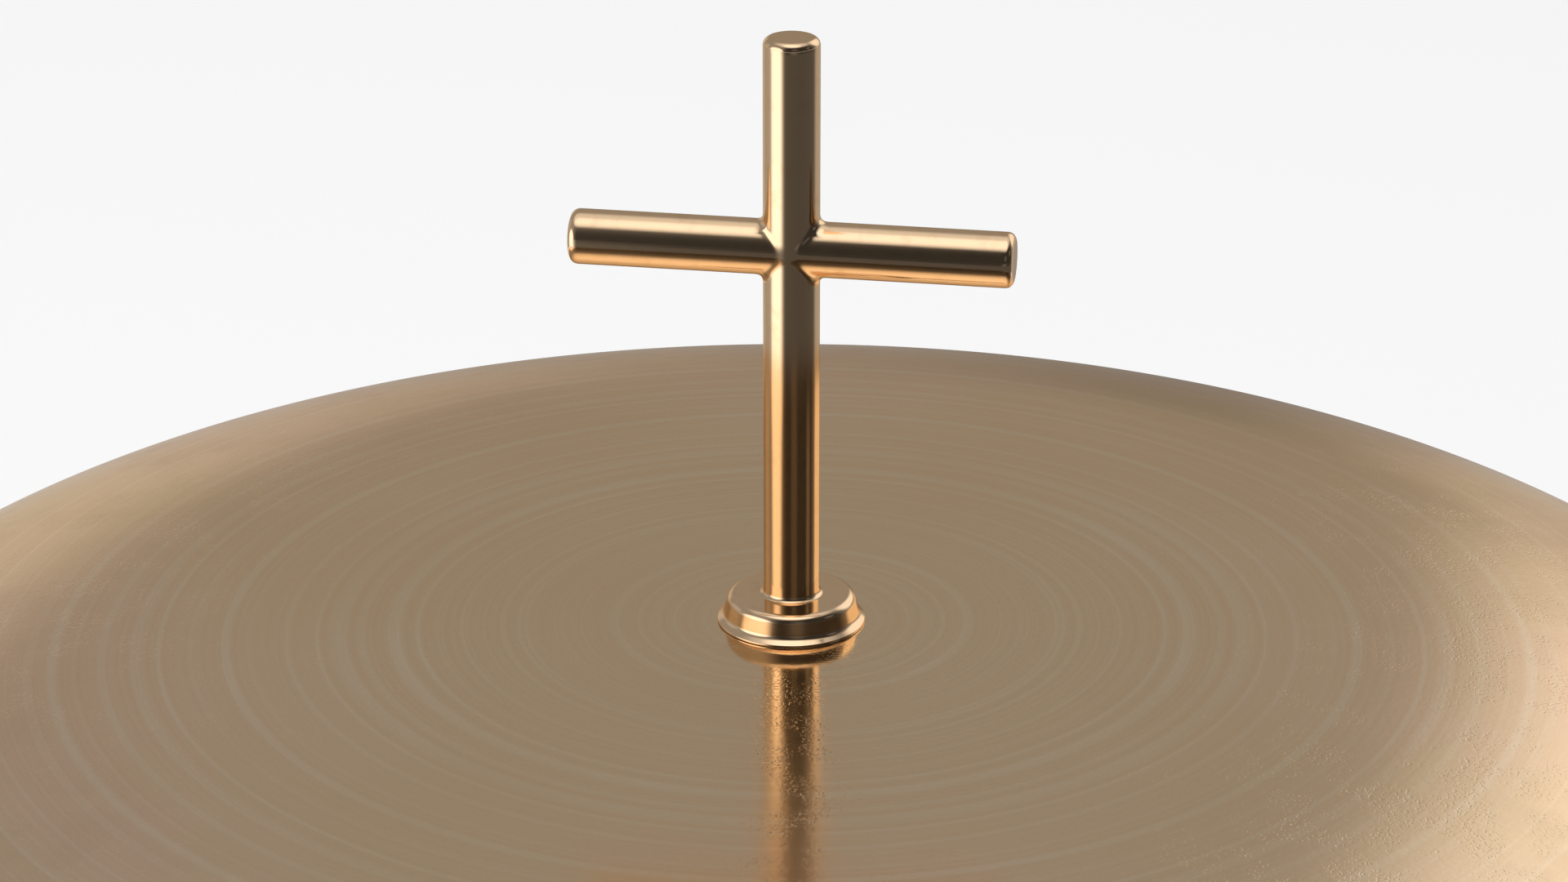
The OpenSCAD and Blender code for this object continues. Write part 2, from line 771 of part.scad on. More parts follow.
module hammer_head() {
    half = head_len / 2;
    groove_r = 0.7;
    color(BRASS) at_head() difference() {
        rotate([0, 90, 0]) translate([0, 0, -half]) rotate_extrude() difference() {
            polygon(concat(
                [[0, 0]],
                arc([head_r - head_edge, head_edge], head_edge, -90, 0),
                arc([head_r - head_edge, head_len - head_edge], head_edge, 0, 90),
                [[0, head_len]]
            ));
            for (z = [head_edge + 2, head_len - head_edge - 2]) translate([head_r, z]) circle(r = groove_r);
        }
        along_arm() translate([0, 0, -head_r - 1]) cylinder(r = neck_r + slip, h = head_r + neck_up + 1.5);
        translate([-half - 1, 0, 0]) rotate([0, 90, 0]) cylinder(r = grub_r + slip, h = half + 1);
        translate([half - spigot_len - slip, 0, 0]) rotate([0, 90, 0]) cylinder(r = spigot_r + slip, h = spigot_len + 1);
    }
}

module head_screw() {
    sunk = 0.8;
    color(STEEL) at_head() translate([-head_len / 2 + sunk, 0, 0]) rotate([0, 90, 0])
        cylinder(r = grub_r, h = head_len / 2 - sunk - neck_r - neck_gap);
}

module hammer_tip() {
    ball_r = tip_r * 1.6;
    color(BOXWOOD) at_head() translate([head_len / 2, 0, 0]) rotate([0, 90, 0]) {
        translate([0, 0, -spigot_len]) cylinder(r = spigot_r, h = spigot_len + 1);
        turned(concat([[0, 0], [tip_r, 0]], arc([0, tip_len - ball_r], ball_r, acos(tip_r / ball_r), 90)));
    }
}

base_felt();
base_plate();
plate_screws();
ballast_ring();
base_foot();
tie_nut();
tie_washer();
tie_rod();
column();
seat_washer();
dome_felt();
centre_bush();
bell_dome();
collar_leather();
finial_collar();
cross();
fulcrum_bracket();
bracket_screws();
fulcrum_pin();
pin_clip();
rest_post();
rest_felt();
spring_post();
spring_post_cap();
return_spring();
key_lever();
thumb_button();
button_screw();
hammer_pin();
hammer_rest();
hammer_arm();
hammer_head();
head_screw();
hammer_tip();
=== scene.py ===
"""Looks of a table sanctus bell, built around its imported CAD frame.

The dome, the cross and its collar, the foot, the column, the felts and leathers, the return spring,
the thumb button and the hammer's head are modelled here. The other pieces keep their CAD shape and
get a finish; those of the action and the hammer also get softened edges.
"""

import logging
import math
from dataclasses import dataclass
from enum import Enum
from typing import Any, Sequence

import bmesh
import bpy
import numpy as np
from mathutils import Matrix, Vector


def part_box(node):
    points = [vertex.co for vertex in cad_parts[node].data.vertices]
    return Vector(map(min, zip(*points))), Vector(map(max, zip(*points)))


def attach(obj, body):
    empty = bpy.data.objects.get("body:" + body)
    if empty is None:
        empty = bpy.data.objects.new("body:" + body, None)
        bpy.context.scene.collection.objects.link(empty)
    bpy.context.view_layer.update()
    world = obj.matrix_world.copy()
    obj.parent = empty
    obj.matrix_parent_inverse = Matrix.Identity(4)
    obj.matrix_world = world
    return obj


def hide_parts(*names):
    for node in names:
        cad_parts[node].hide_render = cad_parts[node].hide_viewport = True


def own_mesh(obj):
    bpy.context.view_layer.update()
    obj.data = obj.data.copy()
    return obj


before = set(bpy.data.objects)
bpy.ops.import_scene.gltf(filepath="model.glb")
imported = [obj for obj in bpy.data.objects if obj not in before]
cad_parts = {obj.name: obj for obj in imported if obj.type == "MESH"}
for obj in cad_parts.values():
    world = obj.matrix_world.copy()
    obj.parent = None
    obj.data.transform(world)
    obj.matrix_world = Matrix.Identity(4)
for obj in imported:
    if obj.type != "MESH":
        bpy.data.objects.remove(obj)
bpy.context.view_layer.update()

log = logging.getLogger("sanctus_bell")

MM = 0.001

# Two points of a mesh nearer than this are one, in metres
MERGE_GAP = 1e-7
# An edge shorter than this is none, in metres
NO_LENGTH = 1e-8
# The same for the loose triangles of a CAD node, in metres
WELD_GAP = 2e-6
# Triangles of a CAD node that bend less than this are one flat side
FLAT_DEG = 0.5
# Edges of a CAD node that bend more than this are softened
BEVEL_DEG = 40.0

Socket = bpy.types.NodeSocket
Tree = bpy.types.NodeTree
Point = tuple[float, float]
Profile = list[Point]
# Lower and upper end of a span of values
Span = tuple[float, float]
# Azimuth in degrees along a card, and how brightly it glows there
Stop = tuple[float, float]


class Body(Enum):
    """The rigid bodies that pieces ride on."""

    STAND = "stand"
    KEY = "key"
    HAMMER = "hammer"


class Slot(Enum):
    """The record's material slots."""

    DOME_BRASS = "dome_brass"
    POLISHED_BRASS = "polished_brass"
    FOOT_BRASS = "foot_brass"
    ACTION_BRASS = "action_brass"
    STEEL = "steel"
    SPRING_STEEL = "spring_steel"
    CAST_IRON = "cast_iron"
    FELT = "felt"
    LEATHER = "leather"
    RUBBER = "rubber"
    BOXWOOD = "boxwood"


def linear(hex_colour: str) -> tuple[float, float, float, float]:
    """Turns an sRGB hex colour into linear RGBA.

    Args:
        hex_colour: Colour such as "#c9a26a".

    Returns:
        Linear red, green, blue and an alpha of 1.
    """
    channels = [int(hex_colour[i:i + 2], 16) / 255 for i in (1, 3, 5)]
    red, green, blue = (c / 12.92 if c <= 0.04045 else ((c + 0.055) / 1.055) ** 2.4 for c in channels)
    return (red, green, blue, 1.0)


def add(tree: Tree, kind: str, inputs: dict[Any, Any] | None = None,
        **settings: Any) -> bpy.types.Node:
    """Adds a node with its settings, values and links.

    Args:
        tree: Node tree that gets the node.
        kind: Node type, such as "ShaderNodeMath".
        inputs: Socket name or index to a value, or to an output socket to link.
        **settings: Attributes of the node.

    Returns:
        The new node.
    """
    node = tree.nodes.new(kind)
    for name, value in settings.items():
        setattr(node, name, value)
    for name, value in (inputs or {}).items():
        if isinstance(value, Socket):
            tree.links.new(value, node.inputs[name])
        else:
            node.inputs[name].default_value = value
    return node


def new_material(name: str) -> tuple[bpy.types.Material, Tree, bpy.types.Node]:
    """Makes an empty material with a Principled shader.

    Args:
        name: Material's name.

    Returns:
        The material, its node tree and its Principled node.
    """
    material = bpy.data.materials.new(name)
    material.use_nodes = True
    tree = material.node_tree
    tree.nodes.clear()
    shader = add(tree, "ShaderNodeBsdfPrincipled")
    add(tree, "ShaderNodeOutputMaterial", {"Surface": shader.outputs["BSDF"]})
    return material, tree, shader


def per_mm(size_mm: float) -> float:
    """Texture scale at which one feature is about size_mm wide."""
    return 1.0 / (size_mm * MM)


@dataclass(frozen=True)
class SpunBrass:
    """Brass turned on a lathe: satin, glossier round the middle, with faint pale rings round the axis.

    Its tint drifts between rosy and olive, and smudges of patina gather towards the rim. Fine grain, dimples
    and loose groups of small pits break up what it reflects.
    """

    name: str
    colour: str = "#edcea7"
    rosy_colour: str = "#f2ceae"
    ring_colour: str = "#f9e5c9"
    patina_colour: str = "#a98e6c"
    edge_colour: str = "#f9ebd8"
    roughness: float = 0.165
    buffed_roughness: float = 0.1
    patina_roughness: float = 0.1
    buffed_r_mm: float = 10.0
    satin_r_mm: float = 50.0
    anisotropy: float = 0.1
    drift_mm: float = 42.0
    ring_mm: float = 2.0
    # Real tool marks are about 0.1 mm apart; drawn coarser so that they show
    line_mm: float = 0.6
    smudge_mm: float = 13.0
    grain_mm: float = 0.3
    dimple_mm: float = 0.9
    pit_mm: float = 0.36
    pit_patch_mm: float = 5.0
    line_depth_mm: float = 0.0012
    dimple_depth_mm: float = 0.006
    pit_depth_mm: float = 0.009
    rosy_from_mm: float = 35.4
    rosy_to_mm: float = 82.6
    patina_from_mm: float = 70.0
    patina_to_mm: float = 118.0
    # How far each mark takes the colour at most, and what a faded one keeps
    ring_share: float = 0.44
    line_share: float = 0.2
    grain_share: float = 0.2
    patina_share: float = 0.4
    faded_share: float = 0.5
    # Spans of noise over which each mark sets in
    ring_span: Span = (0.44, 0.76)
    line_span: Span = (0.35, 0.7)
    grain_span: Span = (0.3, 0.7)
    fade_span: Span = (0.35, 0.65)
    rosy_span: Span = (0.4, 0.6)
    smudge_span: Span = (0.47, 0.72)
    pit_span: Span = (0.56, 0.7)
    pit_patch_span: Span = (0.46, 0.58)

    def patina(self, tree: Tree, place: Socket, radius: Socket) -> Socket:
        """Lays smudges of patina, more of them towards the rim.

        Args:
            tree: The material's node tree.
            place: Place on the piece.
            radius: Distance from the axis.

        Returns:
            Amount of patina, from 0 to 1.
        """
        smudge = add(tree, "ShaderNodeTexNoise", {"Vector": place, "Scale": per_mm(self.smudge_mm), "Detail": 5.0,
                                                  "Roughness": 0.6}).outputs["Fac"]
        blotch = add(tree, "ShaderNodeMapRange", {"Value": smudge, "From Min": self.smudge_span[0],
                                                  "From Max": self.smudge_span[1]}).outputs["Result"]
        outer = add(tree, "ShaderNodeMapRange", {"Value": radius, "From Min": self.patina_from_mm * MM,
                                                 "From Max": self.patina_to_mm * MM}).outputs["Result"]
        return add(tree, "ShaderNodeMath", {0: outer, 1: blotch}, operation="MULTIPLY").outputs["Value"]

    def pale_marks(self, tree: Tree, place: Socket, run: Socket, lines: Socket, drift: Socket) -> Socket:
        """Adds up the rings, the tool's lines and the grain.

        Args:
            tree: The material's node tree.
            place: Place on the piece.
            run: Distance along the turned outline.
            lines: Noise of the tool's lines.
            drift: Noise of the slow drift over the piece.

        Returns:
            Share of the pale colour.
        """
        rings = add(tree, "ShaderNodeTexNoise", {"W": run, "Scale": per_mm(self.ring_mm), "Detail": 2.0,
                                                 "Roughness": 0.55}, noise_dimensions="1D").outputs["Fac"]
        bands = add(tree, "ShaderNodeMapRange", {"Value": rings, "From Min": self.ring_span[0],
                                                 "From Max": self.ring_span[1], "To Max": self.ring_share},
                    interpolation_type="SMOOTHSTEP").outputs["Result"]
        hatch = add(tree, "ShaderNodeMapRange", {"Value": lines, "From Min": self.line_span[0],
                                                 "From Max": self.line_span[1],
                                                 "To Max": self.line_share}).outputs["Result"]
        grain = add(tree, "ShaderNodeTexNoise", {"Vector": place, "Scale": per_mm(self.grain_mm),
                                                 "Detail": 1.0}).outputs["Fac"]
        speck = add(tree, "ShaderNodeMapRange", {"Value": grain, "From Min": self.grain_span[0],
                                                 "From Max": self.grain_span[1],
                                                 "To Max": self.grain_share}).outputs["Result"]
        marks = add(tree, "ShaderNodeMath", {0: hatch, 1: speck}, operation="ADD").outputs["Value"]
        pale = add(tree, "ShaderNodeMath", {0: bands, 1: marks}, operation="ADD").outputs["Value"]
        # Marks come and go round the turn, because the tool's pressure varies
        fade = add(tree, "ShaderNodeMapRange", {"Value": drift, "From Min": self.fade_span[0],
                                                "From Max": self.fade_span[1], "To Min": self.faded_share,
                                                "To Max": 1.0}).outputs["Result"]
        return add(tree, "ShaderNodeMath", {0: pale, 1: fade}, operation="MULTIPLY").outputs["Value"]

    def tint(self, tree: Tree, radius: Socket, drift: Socket) -> Socket:
        """Mixes the plain and the rosy brass.

        Args:
            tree: The material's node tree.
            radius: Distance from the axis.
            drift: Noise of the slow drift over the piece.

        Returns:
            The mixed colour.
        """
        away = add(tree, "ShaderNodeMapRange", {"Value": radius, "From Min": self.rosy_from_mm * MM,
                                                "From Max": self.rosy_to_mm * MM}).outputs["Result"]
        warm = add(tree, "ShaderNodeMapRange", {"Value": drift, "From Min": self.rosy_span[0],
                                                "From Max": self.rosy_span[1]}).outputs["Result"]
        rosy = add(tree, "ShaderNodeMath", {0: away, 1: warm}, operation="MULTIPLY").outputs["Value"]
        return add(tree, "ShaderNodeMix", {"Factor": rosy, 6: linear(self.colour), 7: linear(self.rosy_colour)},
                   data_type="RGBA").outputs[2]

    def relief(self, tree: Tree, place: Socket, lines: Socket) -> Socket:
        """Lays pits, dimples and the tool's lines over one another.

        Args:
            tree: The material's node tree.
            place: Place on the piece.
            lines: Noise of the tool's lines.

        Returns:
            The bumped normal.
        """
        hollow = add(tree, "ShaderNodeTexNoise", {"Vector": place, "Scale": per_mm(self.pit_mm),
                                                  "Detail": 1.0}).outputs["Fac"]
        group = add(tree, "ShaderNodeTexNoise", {"Vector": place, "Scale": per_mm(self.pit_patch_mm),
                                                 "Detail": 1.0}).outputs["Fac"]
        pit = add(tree, "ShaderNodeMapRange", {"Value": hollow, "From Min": self.pit_span[0],
                                               "From Max": self.pit_span[1]}).outputs["Result"]
        # Pits come in loose groups
        pitted = add(tree, "ShaderNodeMapRange", {"Value": group, "From Min": self.pit_patch_span[0],
                                                  "From Max": self.pit_patch_span[1]}).outputs["Result"]
        pits = add(tree, "ShaderNodeMath", {0: pit, 1: pitted}, operation="MULTIPLY").outputs["Value"]
        pit_bump = add(tree, "ShaderNodeBump", {"Strength": 1.0, "Distance": self.pit_depth_mm * MM, "Height": pits},
                       invert=True)
        dimples = add(tree, "ShaderNodeTexNoise", {"Vector": place, "Scale": per_mm(self.dimple_mm),
                                                   "Detail": 1.0}).outputs["Fac"]
        dimple_bump = add(tree, "ShaderNodeBump", {"Strength": 1.0, "Distance": self.dimple_depth_mm * MM,
                                                   "Height": dimples, "Normal": pit_bump.outputs["Normal"]})
        line_bump = add(tree, "ShaderNodeBump", {"Strength": 1.0, "Distance": self.line_depth_mm * MM, "Height": lines,
                                                 "Normal": dimple_bump.outputs["Normal"]})
        return line_bump.outputs["Normal"]

    def material(self) -> bpy.types.Material:
        """Builds the material.

        Returns:
            The material.
        """
        material, tree, shader = new_material(self.name)
        place = add(tree, "ShaderNodeTexCoord").outputs["Object"]
        axes = add(tree, "ShaderNodeSeparateXYZ", {"Vector": place}).outputs
        flat = add(tree, "ShaderNodeCombineXYZ", {"X": axes["X"], "Y": axes["Y"]}).outputs["Vector"]
        radius = add(tree, "ShaderNodeVectorMath", {0: flat}, operation="LENGTH").outputs["Value"]
        radial = add(tree, "ShaderNodeVectorMath", {0: flat}, operation="NORMALIZE").outputs["Vector"]
        # Radius less height, so that rings also run round upright walls
        run = add(tree, "ShaderNodeMath", {0: radius, 1: axes["Z"]}, operation="SUBTRACT").outputs["Value"]
        lines = add(tree, "ShaderNodeTexNoise", {"W": run, "Scale": per_mm(self.line_mm), "Detail": 2.0,
                                                 "Roughness": 0.6}, noise_dimensions="1D").outputs["Fac"]
        drift = add(tree, "ShaderNodeTexNoise", {"Vector": place, "Scale": per_mm(self.drift_mm), "Detail": 2.0,
                                                 "Roughness": 0.5}).outputs["Fac"]
        brass = add(tree, "ShaderNodeMix", {"Factor": self.pale_marks(tree, place, run, lines, drift),
                                            6: self.tint(tree, radius, drift), 7: linear(self.ring_colour)},
                    data_type="RGBA").outputs[2]
        patina = self.patina(tree, place, radius)
        stain = add(tree, "ShaderNodeMath", {0: patina, 1: self.patina_share}, operation="MULTIPLY").outputs["Value"]
        colour = add(tree, "ShaderNodeMix", {"Factor": stain, 6: brass, 7: linear(self.patina_colour)},
                     data_type="RGBA").outputs[2]
        # Buffed most round the middle, so the gloss falls off outwards
        gloss = add(tree, "ShaderNodeMapRange", {"Value": radius, "From Min": self.buffed_r_mm * MM,
                                                 "From Max": self.satin_r_mm * MM, "To Min": self.buffed_roughness,
                                                 "To Max": self.roughness}).outputs["Result"]
        dulling = add(tree, "ShaderNodeMath", {0: patina, 1: self.patina_roughness},
                      operation="MULTIPLY").outputs["Value"]
        rough = add(tree, "ShaderNodeMath", {0: gloss, 1: dulling}, operation="ADD").outputs["Value"]
        shader.inputs["Metallic"].default_value = 1.0
        shader.inputs["Anisotropic"].default_value = self.anisotropy
        shader.inputs["Specular Tint"].default_value = linear(self.edge_colour)
        tree.links.new(colour, shader.inputs["Base Color"])
        tree.links.new(rough, shader.inputs["Roughness"])
        tree.links.new(self.relief(tree, place, lines), shader.inputs["Normal"])
        tree.links.new(radial, shader.inputs["Tangent"])
        return material


@dataclass(frozen=True)
class PolishedBrass:
    """Brass buffed to a soft mirror: small uneven spots of gloss and a slight waviness from the wheel."""

    name: str
    colour: str = "#f0cfa9"
    dull_colour: str = "#d9b184"
    edge_colour: str = "#f8e8d2"
    roughness: float = 0.1
    spread: float = 0.05
    spot_mm: float = 2.2
    wave_mm: float = 7.0
    wave_height_mm: float = 0.012
    wave_strength: float = 0.4
    dull_share: float = 0.5
    dull_span: Span = (0.52, 0.8)
    gloss_span: Span = (0.3, 0.75)

    def material(self) -> bpy.types.Material:
        """Builds the material.

        Returns:
            The material.
        """
        material, tree, shader = new_material(self.name)
        place = add(tree, "ShaderNodeTexCoord").outputs["Object"]
        spots = add(tree, "ShaderNodeTexNoise", {"Vector": place, "Scale": per_mm(self.spot_mm), "Detail": 6.0,
                                                 "Roughness": 0.6})
        wave = add(tree, "ShaderNodeTexNoise", {"Vector": place, "Scale": per_mm(self.wave_mm), "Detail": 1.0})
        dull = add(tree, "ShaderNodeMapRange", {"Value": spots.outputs["Fac"], "From Min": self.dull_span[0],
                                                "From Max": self.dull_span[1], "To Max": self.dull_share})
        colour = add(tree, "ShaderNodeMix", {"Factor": dull.outputs["Result"], 6: linear(self.colour),
                                             7: linear(self.dull_colour)}, data_type="RGBA")
        rough = add(tree, "ShaderNodeMapRange", {"Value": spots.outputs["Fac"], "From Min": self.gloss_span[0],
                                                 "From Max": self.gloss_span[1], "To Min": self.roughness,
                                                 "To Max": self.roughness + self.spread})
        bump = add(tree, "ShaderNodeBump", {"Strength": self.wave_strength, "Distance": self.wave_height_mm * MM,
                                            "Height": wave.outputs["Fac"]})
        shader.inputs["Metallic"].default_value = 1.0
        shader.inputs["Specular Tint"].default_value = linear(self.edge_colour)
        tree.links.new(colour.outputs[2], shader.inputs["Base Color"])
        tree.links.new(rough.outputs["Result"], shader.inputs["Roughness"])
        tree.links.new(bump.outputs["Normal"], shader.inputs["Normal"])
        return material


@dataclass(frozen=True)
class MachinedMetal:
    """Milled or drawn metal: fine streaks along one direction, with duller patches where it is handled."""

    name: str
    colour: str
    dark_colour: str
    roughness: float = 0.3
    streak_mm: float = 0.35
    streak_length_mm: float = 9.0
    streak_depth_mm: float = 0.01
    streak_strength: float = 0.25
    patch_mm: float = 6.0
    patch_share: float = 0.55
    patch_span: Span = (0.45, 0.75)
    streak_span: Span = (0.3, 0.7)
    # How far the streaks go below and above the roughness
    smoother: float = 0.06
    rougher: float = 0.12

    def material(self) -> bpy.types.Material:
        """Builds the material.

        Returns:
            The material.
        """
        material, tree, shader = new_material(self.name)
        place = add(tree, "ShaderNodeTexCoord").outputs["Object"]
        along = add(tree, "ShaderNodeMapping", {"Vector": place, "Scale": (
            per_mm(self.streak_mm), per_mm(self.streak_length_mm), per_mm(self.streak_mm))})
        streaks = add(tree, "ShaderNodeTexNoise", {"Vector": along.outputs["Vector"], "Scale": 1.0, "Detail": 3.0})
        patches = add(tree, "ShaderNodeTexNoise", {"Vector": place, "Scale": per_mm(self.patch_mm), "Detail": 4.0})
        shade = add(tree, "ShaderNodeMapRange", {"Value": patches.outputs["Fac"], "From Min": self.patch_span[0],
                                                 "From Max": self.patch_span[1], "To Max": self.patch_share})
        colour = add(tree, "ShaderNodeMix", {"Factor": shade.outputs["Result"], 6: linear(self.colour),
                                             7: linear(self.dark_colour)}, data_type="RGBA")
        rough = add(tree, "ShaderNodeMapRange", {"Value": streaks.outputs["Fac"], "From Min": self.streak_span[0],
                                                 "From Max": self.streak_span[1],
                                                 "To Min": self.roughness - self.smoother,
                                                 "To Max": self.roughness + self.rougher})
        bump = add(tree, "ShaderNodeBump", {"Strength": self.streak_strength, "Distance": self.streak_depth_mm * MM,
                                            "Height": streaks.outputs["Fac"]})
        shader.inputs["Metallic"].default_value = 1.0
        tree.links.new(colour.outputs[2], shader.inputs["Base Color"])
        tree.links.new(rough.outputs["Result"], shader.inputs["Roughness"])
        tree.links.new(bump.outputs["Normal"], shader.inputs["Normal"])
        return material


@dataclass(frozen=True)
class CastIron:
    """Cast iron as it leaves the sand: dark grey, matt and pebbled."""

    name: str = "cast_iron_as_cast"
    colour: str = "#4b4a4a"
    rust_colour: str = "#5d463a"
    metallic: float = 0.6
    roughness: float = 0.65
    sand_mm: float = 0.9
    sand_depth_mm: float = 0.15
    sand_strength: float = 0.6
    blotch_mm: float = 14.0
    rust_share: float = 0.6
    rust_span: Span = (0.5, 0.7)

    def material(self) -> bpy.types.Material:
        """Builds the material.

        Returns:
            The material.
        """
        material, tree, shader = new_material(self.name)
        place = add(tree, "ShaderNodeTexCoord").outputs["Object"]
        sand = add(tree, "ShaderNodeTexNoise", {"Vector": place, "Scale": per_mm(self.sand_mm), "Detail": 4.0})
        blotch = add(tree, "ShaderNodeTexNoise", {"Vector": place, "Scale": per_mm(self.blotch_mm), "Detail": 4.0})
        rust = add(tree, "ShaderNodeMapRange", {"Value": blotch.outputs["Fac"], "From Min": self.rust_span[0],
                                                "From Max": self.rust_span[1], "To Max": self.rust_share})
        colour = add(tree, "ShaderNodeMix", {"Factor": rust.outputs["Result"], 6: linear(self.colour),
                                             7: linear(self.rust_colour)}, data_type="RGBA")
        bump = add(tree, "ShaderNodeBump", {"Strength": self.sand_strength, "Distance": self.sand_depth_mm * MM,
                                            "Height": sand.outputs["Fac"]})
        shader.inputs["Metallic"].default_value = self.metallic
        shader.inputs["Roughness"].default_value = self.roughness
        tree.links.new(colour.outputs[2], shader.inputs["Base Color"])
        tree.links.new(bump.outputs["Normal"], shader.inputs["Normal"])
        return material


@dataclass(frozen=True)
class WoolFelt:
    """Pressed wool felt: matted fibres with no weave, soft sheen and paler flecks."""

    name: str = "wool_felt_pressed"
    colour: str = "#5e1c24"
    fleck_colour: str = "#86454a"
    # Real fibres are 0.03 mm thick; drawn coarser so that the mat shows
    fibre_mm: float = 0.35
    mat_mm: float = 2.4
    mat_depth_mm: float = 0.12
    mat_strength: float = 0.7
    fleck_share: float = 0.8
    fleck_span: Span = (0.18, 0.42)
    roughness: float = 0.95
    sheen: float = 0.35
    sheen_roughness: float = 0.6

    def material(self) -> bpy.types.Material:
        """Builds the material.

        Returns:
            The material.
        """
        material, tree, shader = new_material(self.name)
        place = add(tree, "ShaderNodeTexCoord").outputs["Object"]
        fibre = add(tree, "ShaderNodeTexNoise", {"Vector": place, "Scale": per_mm(self.fibre_mm), "Detail": 4.0,
                                                 "Roughness": 0.7, "Distortion": 1.4})
        mat = add(tree, "ShaderNodeTexNoise", {"Vector": place, "Scale": per_mm(self.mat_mm), "Detail": 3.0})
        both = add(tree, "ShaderNodeMath", {0: fibre.outputs["Fac"], 1: mat.outputs["Fac"]},
                   operation="MULTIPLY")
        fleck = add(tree, "ShaderNodeMapRange", {"Value": both.outputs["Value"], "From Min": self.fleck_span[0],
                                                 "From Max": self.fleck_span[1], "To Max": self.fleck_share})
        colour = add(tree, "ShaderNodeMix", {"Factor": fleck.outputs["Result"], 6: linear(self.colour),
                                             7: linear(self.fleck_colour)}, data_type="RGBA")
        bump = add(tree, "ShaderNodeBump", {"Strength": self.mat_strength, "Distance": self.mat_depth_mm * MM,
                                            "Height": both.outputs["Value"]})
        shader.inputs["Roughness"].default_value = self.roughness
        shader.inputs["Sheen Weight"].default_value = self.sheen
        shader.inputs["Sheen Roughness"].default_value = self.sheen_roughness
        tree.links.new(colour.outputs[2], shader.inputs["Base Color"])
        tree.links.new(bump.outputs["Normal"], shader.inputs["Normal"])
        return material


@dataclass(frozen=True)
class Leather:
    """Vegetable-tanned leather: pebbled grain, darker in its creases, partly from its own tone and partly from painted
    shade.
    """

    name: str = "leather_vegetable_tanned"
    colour: str = "#4a2f20"
    crease_tone_and_shade_colour: str = "#23140d"
    grain_mm: float = 0.6
    # Half a crease, as a share of a grain's width
    crease_share: float = 0.18
    crease_depth_mm: float = 0.06
    crease_strength: float = 0.5
    roughness: float = 0.6

    def material(self) -> bpy.types.Material:
        """Builds the material.

        Returns:
            The material.
        """
        material, tree, shader = new_material(self.name)
        place = add(tree, "ShaderNodeTexCoord").outputs["Object"]
        cells = add(tree, "ShaderNodeTexVoronoi", {"Vector": place, "Scale": per_mm(self.grain_mm)},
                    feature="DISTANCE_TO_EDGE")
        crease = add(tree, "ShaderNodeMapRange", {"Value": cells.outputs["Distance"], "From Max": self.crease_share})
        # The creases are darkened in colour: partly the leather's own tone, partly painted shade
        colour = add(tree, "ShaderNodeMix", {"Factor": crease.outputs["Result"], 6: linear(self.crease_tone_and_shade_colour),
                                             7: linear(self.colour)}, data_type="RGBA")
        bump = add(tree, "ShaderNodeBump", {"Strength": self.crease_strength, "Distance": self.crease_depth_mm * MM,
                                            "Height": crease.outputs["Result"]})
        shader.inputs["Roughness"].default_value = self.roughness
        tree.links.new(colour.outputs[2], shader.inputs["Base Color"])
        tree.links.new(bump.outputs["Normal"], shader.inputs["Normal"])
        return material


@dataclass(frozen=True)
class Rubber:
    """Moulded black rubber: matt, with a faint bloom."""

    name: str = "rubber_moulded"
    colour: str = "#1d1d1f"
    bloom_colour: str = "#343437"
    bloom_mm: float = 3.0
    roughness: float = 0.7

    def material(self) -> bpy.types.Material:
        """Builds the material.

        Returns:
            The material.
        """
        material, tree, shader = new_material(self.name)
        place = add(tree, "ShaderNodeTexCoord").outputs["Object"]
        bloom = add(tree, "ShaderNodeTexNoise", {"Vector": place, "Scale": per_mm(self.bloom_mm), "Detail": 4.0})
        colour = add(tree, "ShaderNodeMix", {"Factor": bloom.outputs["Fac"], 6: linear(self.colour),
                                             7: linear(self.bloom_colour)}, data_type="RGBA")
        shader.inputs["Roughness"].default_value = self.roughness
        tree.links.new(colour.outputs[2], shader.inputs["Base Color"])
        return material


@dataclass(frozen=True)
class Boxwood:
    """Turned and waxed boxwood: pale yellow, with close, fine growth rings."""

    name: str = "boxwood_waxed"
    colour: str = "#cda562"
    ring_colour: str = "#a97c3f"
    ring_mm: float = 0.8
    fibre_mm: float = 0.25
    fibre_length_mm: float = 4.0
    fibre_depth_mm: float = 0.02
    fibre_strength: float = 0.2
    roughness: float = 0.42

    def material(self) -> bpy.types.Material:
        """Builds the material.

        Returns:
            The material.
        """
        material, tree, shader = new_material(self.name)
        place = add(tree, "ShaderNodeTexCoord").outputs["Object"]
        along = add(tree, "ShaderNodeMapping", {"Vector": place, "Scale": (
            per_mm(self.fibre_mm), per_mm(self.fibre_length_mm), per_mm(self.fibre_mm))})
        fibre = add(tree, "ShaderNodeTexNoise", {"Vector": along.outputs["Vector"], "Scale": 1.0, "Detail": 3.0})
        rings = add(tree, "ShaderNodeTexWave", {"Vector": place, "Scale": per_mm(self.ring_mm) / math.tau,
                                                "Distortion": 2.5, "Detail": 2.0, "Detail Scale": 1.2},
                    wave_type="BANDS", bands_direction="X")
        tone = add(tree, "ShaderNodeMath", {0: rings.outputs["Fac"], 1: fibre.outputs["Fac"]},
                   operation="MULTIPLY")
        colour = add(tree, "ShaderNodeMix", {"Factor": tone.outputs["Value"], 6: linear(self.colour),
                                             7: linear(self.ring_colour)}, data_type="RGBA")
        bump = add(tree, "ShaderNodeBump", {"Strength": self.fibre_strength, "Distance": self.fibre_depth_mm * MM,
                                            "Height": fibre.outputs["Fac"]})
        shader.inputs["Roughness"].default_value = self.roughness
        tree.links.new(colour.outputs[2], shader.inputs["Base Color"])
        tree.links.new(bump.outputs["Normal"], shader.inputs["Normal"])
        return material


